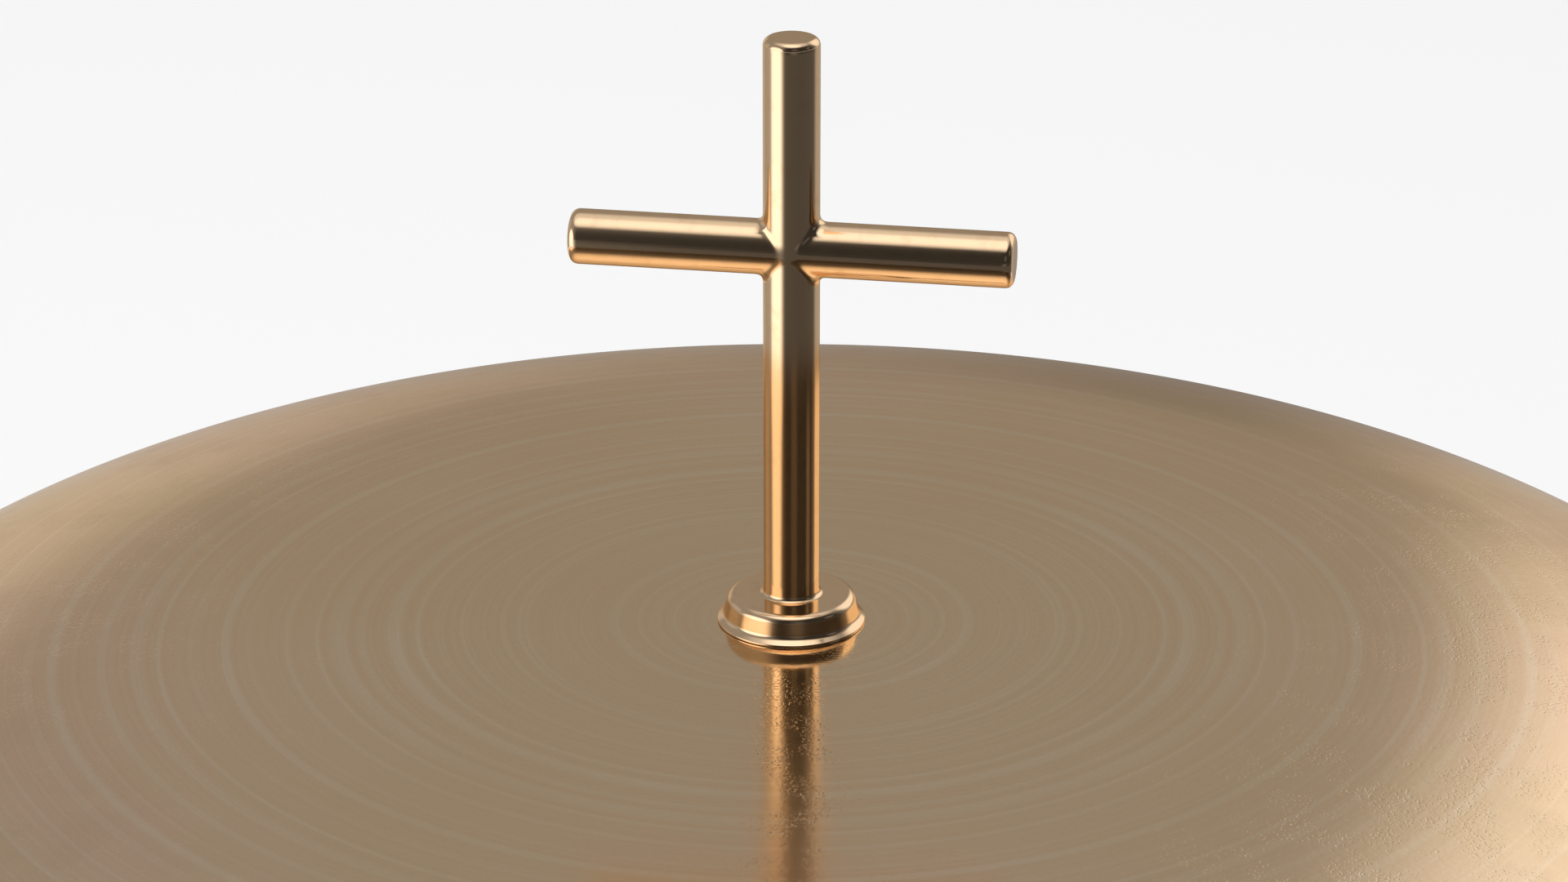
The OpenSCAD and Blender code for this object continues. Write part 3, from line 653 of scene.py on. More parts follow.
@dataclass(frozen=True)
class WhitePaper:
    """Studio paper: matt white, shown a little brighter than the lamps make it, with its shadows kept."""

    name: str = "paper_white"
    colour: str = "#f2f2f2"
    glow: float = 0.56
    glow_level: float = 1.0
    fibre_mm: float = 1.5
    fibre_depth_mm: float = 0.05
    fibre_strength: float = 0.05

    def material(self) -> bpy.types.Material:
        """Builds the material.

        Returns:
            The material.
        """
        material, tree, shader = new_material(self.name)
        place = add(tree, "ShaderNodeTexCoord").outputs["Object"]
        fibre = add(tree, "ShaderNodeTexNoise", {"Vector": place, "Scale": per_mm(self.fibre_mm), "Detail": 2.0})
        bump = add(tree, "ShaderNodeBump", {"Strength": self.fibre_strength, "Distance": self.fibre_depth_mm * MM,
                                            "Height": fibre.outputs["Fac"]})
        shader.inputs["Base Color"].default_value = linear(self.colour)
        shader.inputs["Roughness"].default_value = 1.0
        shader.inputs["Specular IOR Level"].default_value = 0.0
        tree.links.new(bump.outputs["Normal"], shader.inputs["Normal"])
        rays = add(tree, "ShaderNodeLightPath")
        seen = add(tree, "ShaderNodeMath", {0: rays.outputs["Is Camera Ray"], 1: rays.outputs["Is Glossy Ray"]},
                   operation="MAXIMUM")
        shown = add(tree, "ShaderNodeMath", {0: seen.outputs["Value"], 1: rays.outputs["Is Transmission Ray"]},
                    operation="MAXIMUM")
        share = add(tree, "ShaderNodeMath", {0: shown.outputs["Value"], 1: self.glow}, operation="MULTIPLY")
        glow = add(tree, "ShaderNodeEmission", {"Strength": self.glow_level})
        both = add(tree, "ShaderNodeMixShader", {0: share.outputs["Value"], 1: shader.outputs["BSDF"],
                                                 2: glow.outputs["Emission"]})
        tree.links.new(both.outputs["Shader"], tree.nodes["Material Output"].inputs["Surface"])
        return material


@dataclass(frozen=True)
class FlagCloth:
    """Dark studio cloth: matt, nearly black, so that metal facing it shows deep tones."""

    name: str = "cloth_dark"
    colour: str = "#585858"

    def material(self) -> bpy.types.Material:
        """Builds the material.

        Returns:
            The material.
        """
        material, _, shader = new_material(self.name)
        shader.inputs["Base Color"].default_value = linear(self.colour)
        shader.inputs["Roughness"].default_value = 1.0
        shader.inputs["Specular IOR Level"].default_value = 0.0
        return material


@dataclass(frozen=True)
class GradedCard:
    """A curved card lit unevenly from behind: its glow drifts along its length without any edge."""

    name: str
    stops: Sequence[Stop]
    turn_deg: float

    def material(self) -> bpy.types.Material:
        """Builds the material.

        Returns:
            The material.
        """
        material, tree, _ = new_material(self.name)
        start, end = self.stops[0][0], self.stops[-1][0]
        place = add(tree, "ShaderNodeTexCoord").outputs["Object"]
        # Turned so that the card's middle lies along X, where the angle is nought
        turn = math.radians(90 - self.turn_deg - (start + end) / 2)
        turned = add(tree, "ShaderNodeVectorRotate", {"Vector": place, "Angle": turn}, rotation_type="Z_AXIS")
        axes = add(tree, "ShaderNodeSeparateXYZ", {"Vector": turned.outputs["Vector"]}).outputs
        angle = add(tree, "ShaderNodeMath", {0: axes["Y"], 1: axes["X"]}, operation="ARCTAN2").outputs["Value"]
        half = math.radians(end - start) / 2
        share = add(tree, "ShaderNodeMapRange", {"Value": angle, "From Min": -half, "From Max": half}).outputs["Result"]
        ramp = add(tree, "ShaderNodeValToRGB", {"Fac": share})
        points = ramp.color_ramp.elements
        brightest = max(level for _, level in self.stops)
        for azimuth, level in self.stops:
            point = points[0] if azimuth == start else points[-1] if azimuth == end else points.new(
                (azimuth - start) / (end - start))
            point.color = (level / brightest, level / brightest, level / brightest, 1.0)
        ramp.color_ramp.interpolation = "B_SPLINE"
        glow = add(tree, "ShaderNodeEmission", {"Color": ramp.outputs["Color"], "Strength": brightest})
        tree.links.new(glow.outputs["Emission"], tree.nodes["Material Output"].inputs["Surface"])
        return material


class Finishes:
    """One material for each of the record's slots."""

    def __init__(self) -> None:
        """Builds every finish once."""
        makers = {
            Slot.DOME_BRASS: SpunBrass("brass_spun_dome"),
            Slot.POLISHED_BRASS: PolishedBrass("brass_polished"),
            Slot.FOOT_BRASS: SpunBrass("brass_spun_foot", roughness=0.2, buffed_roughness=0.2, anisotropy=0.4),
            Slot.ACTION_BRASS: MachinedMetal("brass_milled", "#e9c894", "#cba472", roughness=0.28),
            Slot.STEEL: MachinedMetal("steel_turned", "#b9bbbe", "#85878b", roughness=0.3),
            Slot.SPRING_STEEL: MachinedMetal("steel_spring_wire", "#8e9297", "#5f6368", roughness=0.34),
            Slot.CAST_IRON: CastIron(),
            Slot.FELT: WoolFelt(),
            Slot.LEATHER: Leather(),
            Slot.RUBBER: Rubber(),
            Slot.BOXWOOD: Boxwood(),
        }
        self.by_slot = {slot: maker.material() for slot, maker in makers.items()}

    def __getitem__(self, slot: Slot) -> bpy.types.Material:
        """The material of a slot."""
        return self.by_slot[slot]


def arc(centre: Point, radius: float, start: float, end: float, steps: int = 10) -> Profile:
    """Points along a circular arc, both ends included.

    Args:
        centre: Centre of the arc, in millimetres.
        radius: Radius in millimetres.
        start: First angle in degrees.
        end: Last angle in degrees.
        steps: Number of straight pieces.

    Returns:
        The points.
    """
    angles = [math.radians(start + (end - start) * i / steps) for i in range(steps + 1)]
    return [(centre[0] + radius * math.cos(a), centre[1] + radius * math.sin(a)) for a in angles]


def spin(profile: Sequence[Point], segments: int = 160) -> bmesh.types.BMesh:
    """Spins a closed outline round the Z axis.

    Args:
        profile: Radius and height of each point in millimetres, in order round the outline.
        segments: Number of steps in the turn.

    Returns:
        A closed mesh in metres.
    """
    bm = bmesh.new()
    verts = [bm.verts.new((r * MM, 0.0, z * MM)) for r, z in profile]
    edges = [bm.edges.new((verts[i], verts[(i + 1) % len(verts)])) for i in range(len(verts))]
    bmesh.ops.spin(bm, geom=verts + edges, cent=(0, 0, 0), axis=(0, 0, 1), dvec=(0, 0, 0),
                   angle=math.tau, steps=segments, use_merge=True, use_duplicate=False)
    bmesh.ops.remove_doubles(bm, verts=bm.verts, dist=MERGE_GAP)
    bmesh.ops.dissolve_degenerate(bm, edges=bm.edges, dist=NO_LENGTH)
    return bm


def finish_mesh(bm: bmesh.types.BMesh, name: str, matrix: Matrix | None = None,
                sharp_deg: float = 40.0) -> bpy.types.Object:
    """Turns a bmesh into an object at the origin, with its place in its mesh.

    Args:
        bm: The mesh, which is freed.
        name: Object's name.
        matrix: Where the mesh goes, in metres.
        sharp_deg: Edges that bend more than this stay sharp.

    Returns:
        The object, linked to the scene.
    """
    if matrix is not None:
        bmesh.ops.transform(bm, matrix=matrix, verts=bm.verts)
    bmesh.ops.recalc_face_normals(bm, faces=bm.faces)
    for face in bm.faces:
        face.smooth = True
    for edge in bm.edges:
        edge.smooth = len(edge.link_faces) != 2 or edge.calc_face_angle(0.0) < math.radians(sharp_deg)
    mesh = bpy.data.meshes.new(name)
    bm.to_mesh(mesh)
    bm.free()
    obj = bpy.data.objects.new(name, mesh)
    bpy.context.scene.collection.objects.link(obj)
    return obj


def settle(obj: bpy.types.Object, body: Body, slot: Slot, finishes: Finishes, *nodes: str) -> None:
    """Gives a new piece its finish, its body and the CAD nodes that it stands for.

    Args:
        obj: The piece.
        body: Body that it rides on.
        slot: Material slot.
        finishes: All finishes.
        *nodes: CAD nodes that it replaces.
    """
    obj.data.materials.append(finishes[slot])
    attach(obj, body.value)
    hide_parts(*nodes)
    log.info("piece %s rides on %s and replaces %s", obj.name, body.value, ", ".join(nodes))


def dress_node(node: str, slot: Slot, finishes: Finishes, soften_mm: float = 0.0) -> None:
    """Gives a CAD node its finish, and softens its edges.

    Args:
        node: CAD node's name.
        slot: Material slot.
        finishes: All finishes.
        soften_mm: Width of the bevel along its edges, or 0 for none.
    """
    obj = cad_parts[node]
    obj.data.materials.clear()
    obj.data.materials.append(finishes[slot])
    if soften_mm:
        weld = obj.modifiers.new("weld", "WELD")
        weld.merge_threshold = WELD_GAP
        # Flat sides become whole faces, so that the bevel runs only along real edges
        flat = obj.modifiers.new("flat", "DECIMATE")
        flat.decimate_type = "DISSOLVE"
        flat.angle_limit = math.radians(FLAT_DEG)
        bevel = obj.modifiers.new("edges", "BEVEL")
        bevel.width = soften_mm * MM
        bevel.segments = 2
        bevel.limit_method = "ANGLE"
        bevel.angle_limit = math.radians(BEVEL_DEG)
        bevel.harden_normals = True
    log.info("node %s keeps its CAD shape", node)


# Turns the plane of the action, where X runs out from the axis, so that the key points to -Y
ACTION = Matrix.Rotation(math.radians(-90), 4, "Z")


def shift(x: float, y: float, z: float) -> Matrix:
    """A move by millimetres."""
    return Matrix.Translation(Vector((x, y, z)) * MM)


def tilt(degrees: float) -> Matrix:
    """A turn in the plane of the action; positive moves upright things outwards."""
    return Matrix.Rotation(math.radians(degrees), 4, "Y")


@dataclass
class Dome:
    """The bell: a thin spun dome with a rounded-square profile and a bead round its rim."""

    radius: float = 125.0
    rise: float = 49.0
    wall: float = 2.0
    skirt: float = 9.0
    bead_r: float = 2.0
    power: float = 4.0
    flat_from: float = 50.0
    flat_to: float = 110.0
    flat_share: float = 0.2
    hole_r: float = 4.5
    curve_steps: int = 96
    # Above 1, the steps of the curve's angle are finer towards the rim
    step_growth: float = 1.25
    segments: int = 288

    def curve(self, radius: float, rise: float) -> Profile:
        """Points down the dome's curve.

        Args:
            radius: Radius at the widest circle.
            rise: Height of the crown above that circle.

        Returns:
            Points from the hole's edge at the crown to the widest circle.
        """
        start = math.acos((self.hole_r / radius) ** (self.power / 2))
        points = []
        for i in range(self.curve_steps + 1):
            t = start * (1 - i / self.curve_steps) ** self.step_growth
            r = radius * math.cos(t) ** (2 / self.power)
            drop = rise * (1 - math.sin(t) ** (2 / self.power))
            points.append((r, rise - drop * self.flattening(r)))
        return points

    def flattening(self, r: float) -> float:
        """Share of the curve's drop that is left at a radius; the crown is beaten a little flatter."""
        t = min(max((r - self.flat_from) / (self.flat_to - self.flat_from), 0.0), 1.0)
        return self.flat_share + (1 - self.flat_share) * t * t * (3 - 2 * t)

    def build(self, finishes: Finishes) -> None:
        """Models the dome over its CAD node.

        Args:
            finishes: All finishes.
        """
        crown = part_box("bell_dome")[1][2] / MM
        bead_a = math.degrees(math.acos(self.wall / 2 / self.bead_r))
        bead = arc((self.radius - self.wall / 2, self.bead_r - self.skirt), self.bead_r, bead_a, -180 - bead_a, 28)
        outside = self.curve(self.radius, self.rise)
        inside = self.curve(self.radius - self.wall, self.rise - self.wall)
        bm = spin(outside + bead + inside[::-1], self.segments)
        dome = finish_mesh(bm, "spun_dome", shift(0, 0, crown - self.rise))
        settle(dome, Body.STAND, Slot.DOME_BRASS, finishes, "bell_dome")


@dataclass
class Finial:
    """The cross of round rod, its turned collar and the leather washer under it."""

    rod_r: float = 3.0
    arm_r: float = 2.95
    cross_h: float = 62.4
    arm_h: float = 39.4
    arm_half: float = 23.6
    rod_edge: float = 0.85
    blend: float = 0.9
    least_blend_share: float = 0.25
    lip_r: float = 8.0
    top_r: float = 7.0
    draft: float = 0.25
    collar_h: float = 3.1
    lip_t: float = 0.3
    lip_flare: float = 35.0
    cove_share: float = 1.15
    collar_edge: float = 0.95
    braze_r: float = 0.55
    burr_r: float = 0.03
    # How far the collar reaches into the rod, so that no gap shows round it
    bore_lap: float = 0.2
    washer_hole_r: float = 4.6
    slip: float = 0.05
    cells: int = 28
    step: float = 0.4
    # How far points even out after each time that they settle on the surface
    evening: Sequence[float] = (0.5, 0.5, 0.5, 0.0)

    def rod_distance(self, points: np.ndarray, axis: int, low: float, high: float, radius: float) -> np.ndarray:
        """Distance from a round rod with rounded ends.

        Args:
            points: Points in millimetres.
            axis: 0 for a rod along X, 2 for one along Z.
            low: Lower end along the axis.
            high: Upper end along the axis.
            radius: Rod's radius.

        Returns:
            One signed distance per point.
        """
        across = np.delete(points, axis, axis=1)
        out = np.hypot(across[:, 0], across[:, 1]) - radius + self.rod_edge
        past = np.abs(points[:, axis] - (low + high) / 2) - (high - low) / 2 + self.rod_edge
        outside = np.hypot(np.maximum(out, 0), np.maximum(past, 0))
        return outside + np.minimum(np.maximum(out, past), 0) - self.rod_edge

    def distance(self, points: np.ndarray) -> np.ndarray:
        """Distance from the cross, with a soft brazed blend where the rods meet.

        Args:
            points: Points in millimetres, the arms' centre at the origin.

        Returns:
            One signed distance per point.
        """
        upright = self.rod_distance(points, 2, -self.arm_h - self.collar_h - self.rod_edge,
                                    self.cross_h - self.arm_h, self.rod_r)
        arms = self.rod_distance(points, 0, -self.arm_half, self.arm_half, self.arm_r)
        # The rods are flush at the middle of the front and back, so the blend dies out there
        blend = self.blend * np.maximum(1 - (points[:, 1] / self.rod_r) ** 2, self.least_blend_share)
        near = np.maximum(blend - np.abs(upright - arms), 0) / blend
        return np.minimum(upright, arms) - near ** 2 * blend / 4

    def settle_on_surface(self, points: np.ndarray, rounds: int = 10) -> np.ndarray:
        """Moves points straight on to the cross's surface.

        Args:
            points: Points in millimetres.
            rounds: Number of corrections.

        Returns:
            The moved points.
        """
        nudge = 1e-3
        least_slope = 0.05
        for _ in range(rounds):
            value = self.distance(points)
            slope = np.stack([(self.distance(points + nudge * axis) - self.distance(points - nudge * axis))
                              / (2 * nudge) for axis in np.eye(3)], axis=1)
            length = np.maximum((slope ** 2).sum(1, keepdims=True), least_slope)
            points = points - slope * value[:, None] / length
        return points

    def cross_mesh(self) -> bmesh.types.BMesh:
        """Draws out a cube's sides into the cross's arms and rounds it on to the rods' surface.

        Returns:
            The cross in millimetres, the arms' centre at the origin.
        """
        half = self.rod_r
        same_way = 0.99
        slack = 1e-4
        bm = bmesh.new()
        bmesh.ops.create_cube(bm, size=2 * half)
        bmesh.ops.subdivide_edges(bm, edges=bm.edges, cuts=self.cells - 1, use_grid_fill=True)
        arms = ((Vector((0, 0, 1)), self.cross_h - self.arm_h), (Vector((0, 0, -1)), self.arm_h + self.collar_h),
                (Vector((1, 0, 0)), self.arm_half), (Vector((-1, 0, 0)), self.arm_half))
        for direction, reach in arms:
            bm.normal_update()
            side = [f for f in bm.faces if f.normal.dot(direction) > same_way
                    and max(abs(c) for c in f.calc_center_median()) < half + slack]
            new = bmesh.ops.extrude_face_region(bm, geom=side)["geom"]
            tops = {g for g in new if isinstance(g, bmesh.types.BMVert)}
            bmesh.ops.delete(bm, geom=side, context="FACES")
            bmesh.ops.translate(bm, vec=direction * (reach - half), verts=list(tops))
            long_edges = [e for e in bm.edges if sum(v in tops for v in e.verts) == 1]
            bmesh.ops.subdivide_edges(bm, edges=long_edges, cuts=round((reach - half) / self.step))
        for smoothing in self.evening:
            points = self.settle_on_surface(np.array([v.co for v in bm.verts]))
            for vert, place in zip(bm.verts, points):
                vert.co = place
            bmesh.ops.smooth_vert(bm, verts=bm.verts, factor=smoothing, use_axis_x=True, use_axis_y=True,
                                  use_axis_z=True)
        return bm

    def build(self, finishes: Finishes) -> None:
        """Models the leather washer, the collar and the cross over their CAD nodes.

        Args:
            finishes: All finishes.
        """
        low, high = (corner[2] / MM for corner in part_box("finial_collar"))
        lip_edge = self.lip_t / 2
        foot_r = self.top_r + self.draft
        flare = math.radians(self.lip_flare)
        # The lip slopes from its round edge up to the hollow at the wall's foot
        edge_r, edge_z = self.lip_r - lip_edge * (1 - math.sin(flare)), lip_edge * (1 + math.cos(flare))
        cove = self.cove_share * (edge_r - foot_r)
        slope = (edge_r - foot_r - cove * (1 - math.sin(flare))) / math.cos(flare)
        cove_z = edge_z + slope * math.sin(flare) + cove * math.cos(flare)
        bore = self.rod_r - self.bore_lap
        washer_low, washer_high = (corner[2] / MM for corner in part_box("collar_leather"))
        washer_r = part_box("collar_leather")[1][0] / MM
        recess = washer_high - low
        outline = ([(bore, recess), (washer_r + self.slip, recess), (washer_r + self.slip, 0.0)]
                   + arc((self.lip_r - self.burr_r, self.burr_r), self.burr_r, -90, 0, 4)
                   + arc((self.lip_r - lip_edge, lip_edge), lip_edge, 0, 90 - self.lip_flare, 8)
                   + arc((foot_r + cove, cove_z), cove, 270 - self.lip_flare, 180, 10)
                   + arc((self.top_r - self.collar_edge, self.collar_h - self.collar_edge),
                         self.collar_edge, 0, 90, 12)
                   + arc((self.rod_r + self.braze_r, self.collar_h + self.braze_r), self.braze_r, 270, 180, 8)
                   + [(bore, self.collar_h + self.braze_r)])
        collar = finish_mesh(spin(outline, 144), "turned_collar", shift(0, 0, low), sharp_deg=60)
        settle(collar, Body.STAND, Slot.POLISHED_BRASS, finishes, "finial_collar")

        cross = finish_mesh(self.cross_mesh(), "rod_cross",
                            shift(0, 0, low + self.collar_h + self.arm_h) @ Matrix.Scale(MM, 4), sharp_deg=70)
        settle(cross, Body.STAND, Slot.POLISHED_BRASS, finishes, "cross")

        edge = (washer_high - washer_low) / 2
        ring = ([(self.washer_hole_r, 0.0)] + arc((washer_r - edge, edge), edge, -90, 90, 6)
                + [(self.washer_hole_r, 2 * edge)])
        leather = finish_mesh(spin(ring, 96), "collar_washer", shift(0, 0, washer_low))
        settle(leather, Body.STAND, Slot.LEATHER, finishes, "collar_leather")


@dataclass
class Stand:
    """The felted, weighted foot, the column on it and what the column clamps."""

    foot_r: float = 104.0
    felt_t: float = 2.0
    rim_round: float = 4.0
    bead_r: float = 1.3
    wall: float = 1.6
    terrace_z: float = 12.0
    sweep_r: float = 62.0
    sweep_h: float = 22.0
    deck_r: float = 24.0
    rod_r: float = 3.05
    column_h: float = 78.5
    column_foot_r: float = 21.0
    stem_r: float = 8.5
    head_r: float = 15.0
    knop_r: float = 8.0
    knop_out: float = 13.5
    knop_h: float = 24.0
    collar_t: float = 3.0
    foot_cove: float = 5.0
    head_cove: float = 6.0
    soft_edge: float = 0.5
    felt_hole_r: float = 4.55
    sweep_steps: int = 24
    screwed: Sequence[str] = ("base_plate", "plate_screws", "tie_nut", "tie_washer", "tie_rod", "seat_washer")

    def sweep(self, inset: float) -> Profile:
        """Points up the foot's sweep.

        Args:
            inset: How far the curve is moved in and down.

        Returns:
            Points from the terrace up to the deck.
        """
        points = []
        for i in range(self.sweep_steps + 1):
            t = math.radians(90 * i / self.sweep_steps)
            points.append((self.deck_r + (self.sweep_r - self.deck_r) * (1 - math.sin(t)) - inset,
                           self.terrace_z + self.sweep_h * (1 - math.cos(t)) - inset))
        return points

    def build_foot(self, finishes: Finishes) -> None:
        """Models the spun foot with its bead.

        Args:
            finishes: All finishes.
        """
        rim_top = self.terrace_z - self.rim_round
        terrace_r = self.foot_r - self.rim_round
        bead_z = (self.felt_t + rim_top) / 2
        outside = ([(self.foot_r, self.felt_t), (self.foot_r, bead_z - self.bead_r)]
                   + arc((self.foot_r, bead_z), self.bead_r, -90, 90, 12)
                   + arc((terrace_r, rim_top), self.rim_round, 0, 90, 10)
                   + self.sweep(0.0) + [(self.rod_r, self.terrace_z + self.sweep_h)])
        inside = ([(self.foot_r - self.wall, self.felt_t)]
                  + arc((terrace_r, rim_top), self.rim_round - self.wall, 0, 90, 6)
                  + self.sweep(self.wall) + [(self.rod_r, self.terrace_z + self.sweep_h - self.wall)])
        foot = finish_mesh(spin(outside + inside[::-1], 224), "spun_foot")
        settle(foot, Body.STAND, Slot.FOOT_BRASS, finishes, "base_foot")

    def build_column(self, finishes: Finishes) -> None:
        """Models the turned column.

        Args:
            finishes: All finishes.
        """
        half = self.collar_t / 2
        knop_c = self.knop_out - self.knop_r
        knop_a = math.degrees(math.acos((self.stem_r - knop_c) / self.knop_r))
        outline = ([(self.rod_r, 0.0)]
                   + arc((self.column_foot_r - half, half), half, -90, 90, 12)
                   + arc((self.stem_r + self.foot_cove, self.collar_t + self.foot_cove), self.foot_cove, 270, 180, 10)
                   + arc((knop_c, self.knop_h), self.knop_r, -knop_a, knop_a, 24)
                   + arc((self.stem_r + self.head_cove, self.column_h - self.collar_t - self.head_cove),
                         self.head_cove, 180, 90, 10)
                   + arc((self.head_r - half, self.column_h - half), half, -90, 90, 12)
                   + [(self.rod_r, self.column_h)])
        column = finish_mesh(spin(outline, 128), "turned_column", shift(0, 0, self.terrace_z + self.sweep_h))
        settle(column, Body.STAND, Slot.FOOT_BRASS, finishes, "column")

    def build_soft(self, finishes: Finishes) -> None:
        """Models the felt under the foot, the felt under the dome and the rubber bush.

        Args:
            finishes: All finishes.
        """
        for node, name, slot, inner, segments in (("base_felt", "foot_felt", Slot.FELT, 0.0, 192),
                                                  ("dome_felt", "crown_felt", Slot.FELT, self.felt_hole_r, 96),
                                                  ("centre_bush", "crown_bush", Slot.RUBBER, self.rod_r, 64)):
            low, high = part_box(node)
            outer = high[0] / MM
            tall = (high[2] - low[2]) / MM
            # A thin wall has smaller rounds, a third of its thickness
            soft = min(self.soft_edge, (outer - inner) / 3)
            outline = ([(inner, 0.0)] + arc((outer - soft, soft), soft, -90, 0, 5)
                       + arc((outer - soft, tall - soft), soft, 0, 90, 5) + [(inner, tall)])
            piece = finish_mesh(spin(outline, segments), name, shift(0, 0, low[2] / MM), sharp_deg=60)
            settle(piece, Body.STAND, slot, finishes, node)

    def build(self, finishes: Finishes) -> None:
        """Models the stand's pieces and dresses the CAD nodes that stay.

        Args:
            finishes: All finishes.
        """
        self.build_soft(finishes)
        self.build_foot(finishes)
        self.build_column(finishes)
        for node in self.screwed:
            dress_node(node, Slot.STEEL, finishes)
        dress_node("ballast_ring", Slot.CAST_IRON, finishes)


@dataclass
class Action:
    """The fulcrum bracket, its posts and spring, and the key with its thumb button."""

    fulcrum_z: float = 32.0
    terrace_z: float = 12.0
    key_depth: float = 6.4
    button_r: float = 12.0
    button_foot_r: float = 7.0
    button_rise: float = 2.0
    button_h: float = 7.5
    button_edge: float = 1.6
    button_crown: float = 0.8
    button_chamfer: float = 0.3
    soft_edge: float = 0.35
    spring_x: float = 95.0
    wire_r: float = 0.5
    wire_sides: int = 12
    coil_r: float = 4.0
    spring_turns: int = 6
    spring_gap: float = 0.15
    rings_per_turn: int = 28
    # Share of its height that the pressed coil keeps
    pressed_length: float = 0.87
    brass_bevel: float = 0.35
    steel_bevel: float = 0.15

    def build_spring(self, finishes: Finishes) -> None:
        """Winds the return spring from a circle of wire.

        Args:
            finishes: All finishes.
        """
        low = self.terrace_z + self.wire_r + self.spring_gap
        high = self.fulcrum_z - self.key_depth / 2 - self.wire_r - self.spring_gap
        steps = self.spring_turns * self.rings_per_turn
        bm = bmesh.new()
        stand_up = shift(self.coil_r, 0, low) @ Matrix.Rotation(math.radians(90), 4, "X")
        wire = bmesh.ops.create_circle(bm, segments=self.wire_sides, radius=self.wire_r * MM, cap_ends=False,
                                       matrix=stand_up)
        bmesh.ops.spin(bm, geom=wire["verts"] + list(bm.edges), cent=(0, 0, 0), axis=(0, 0, 1),
                       dvec=(0, 0, (high - low) / steps * MM), angle=math.tau * self.spring_turns, steps=steps,
                       use_merge=False, use_duplicate=False)
        bmesh.ops.holes_fill(bm, edges=bm.edges, sides=0)
        spring = finish_mesh(bm, "coil_spring", ACTION @ shift(self.spring_x, 0, 0))
        settle(spring, Body.STAND, Slot.SPRING_STEEL, finishes, "return_spring")
        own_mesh(spring)

    def build_button(self, finishes: Finishes) -> None:
        """Models the thumb button, slightly crowned.

        Args:
            finishes: All finishes.
        """
        low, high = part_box("thumb_button")
        centre_y = (low[1] + high[1]) / 2
        flat_r = self.button_r - self.button_edge
        edge_z = self.button_h - self.button_edge - self.button_crown
        crown_r = (flat_r ** 2 + self.button_crown ** 2) / (2 * self.button_crown)
        half_a = math.degrees(math.asin(flat_r / crown_r))
        outline = ([(0.0, 0.0), (self.button_foot_r - self.button_chamfer, 0.0),
                    (self.button_foot_r, self.button_chamfer), (self.button_foot_r, self.button_rise)]
                   + arc((flat_r, self.button_rise + self.button_edge), self.button_edge, -90, 0, 8)
                   + arc((flat_r, edge_z), self.button_edge, 0, 90 - half_a, 8)
                   + arc((0.0, self.button_h - crown_r), crown_r, 90 - half_a, 90, 8)[1:])
        button = finish_mesh(spin(outline, 128), "thumb_disc",
                             Matrix.Translation((0, centre_y, low[2])))
        settle(button, Body.KEY, Slot.POLISHED_BRASS, finishes, "thumb_button")

    def build_soft(self, finishes: Finishes) -> None:
        """Models the felt under the key's tail and the leather cap of the stop post.

        Args:
            finishes: All finishes.
        """
        edge = self.soft_edge
        for node, name, slot in (("rest_felt", "tail_felt", Slot.FELT), ("spring_post_cap", "stop_cap", Slot.LEATHER)):
            low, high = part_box(node)
            outer = (high[0] - low[0]) / 2 / MM
            tall = (high[2] - low[2]) / MM
            outline = ([(0.0, 0.0)] + arc((outer - edge, edge), edge, -90, 0, 4)
                       + arc((outer - edge, tall - edge), edge, 0, 90, 4) + [(0.0, tall)])
            piece = finish_mesh(spin(outline, 48), name,
                                Matrix.Translation((0, (low[1] + high[1]) / 2, low[2])), sharp_deg=60)
            settle(piece, Body.STAND, slot, finishes, node)

    def build(self, finishes: Finishes) -> None:
        """Models the action's pieces and dresses the CAD nodes that stay.

        Args:
            finishes: All finishes.
        """
        self.build_spring(finishes)
        self.build_button(finishes)
        self.build_soft(finishes)
        for node in ("fulcrum_bracket", "rest_post", "spring_post", "key_lever"):
            dress_node(node, Slot.ACTION_BRASS, finishes, self.brass_bevel)
        for node in ("bracket_screws", "fulcrum_pin", "pin_clip", "button_screw"):
            dress_node(node, Slot.STEEL, finishes, self.steel_bevel)


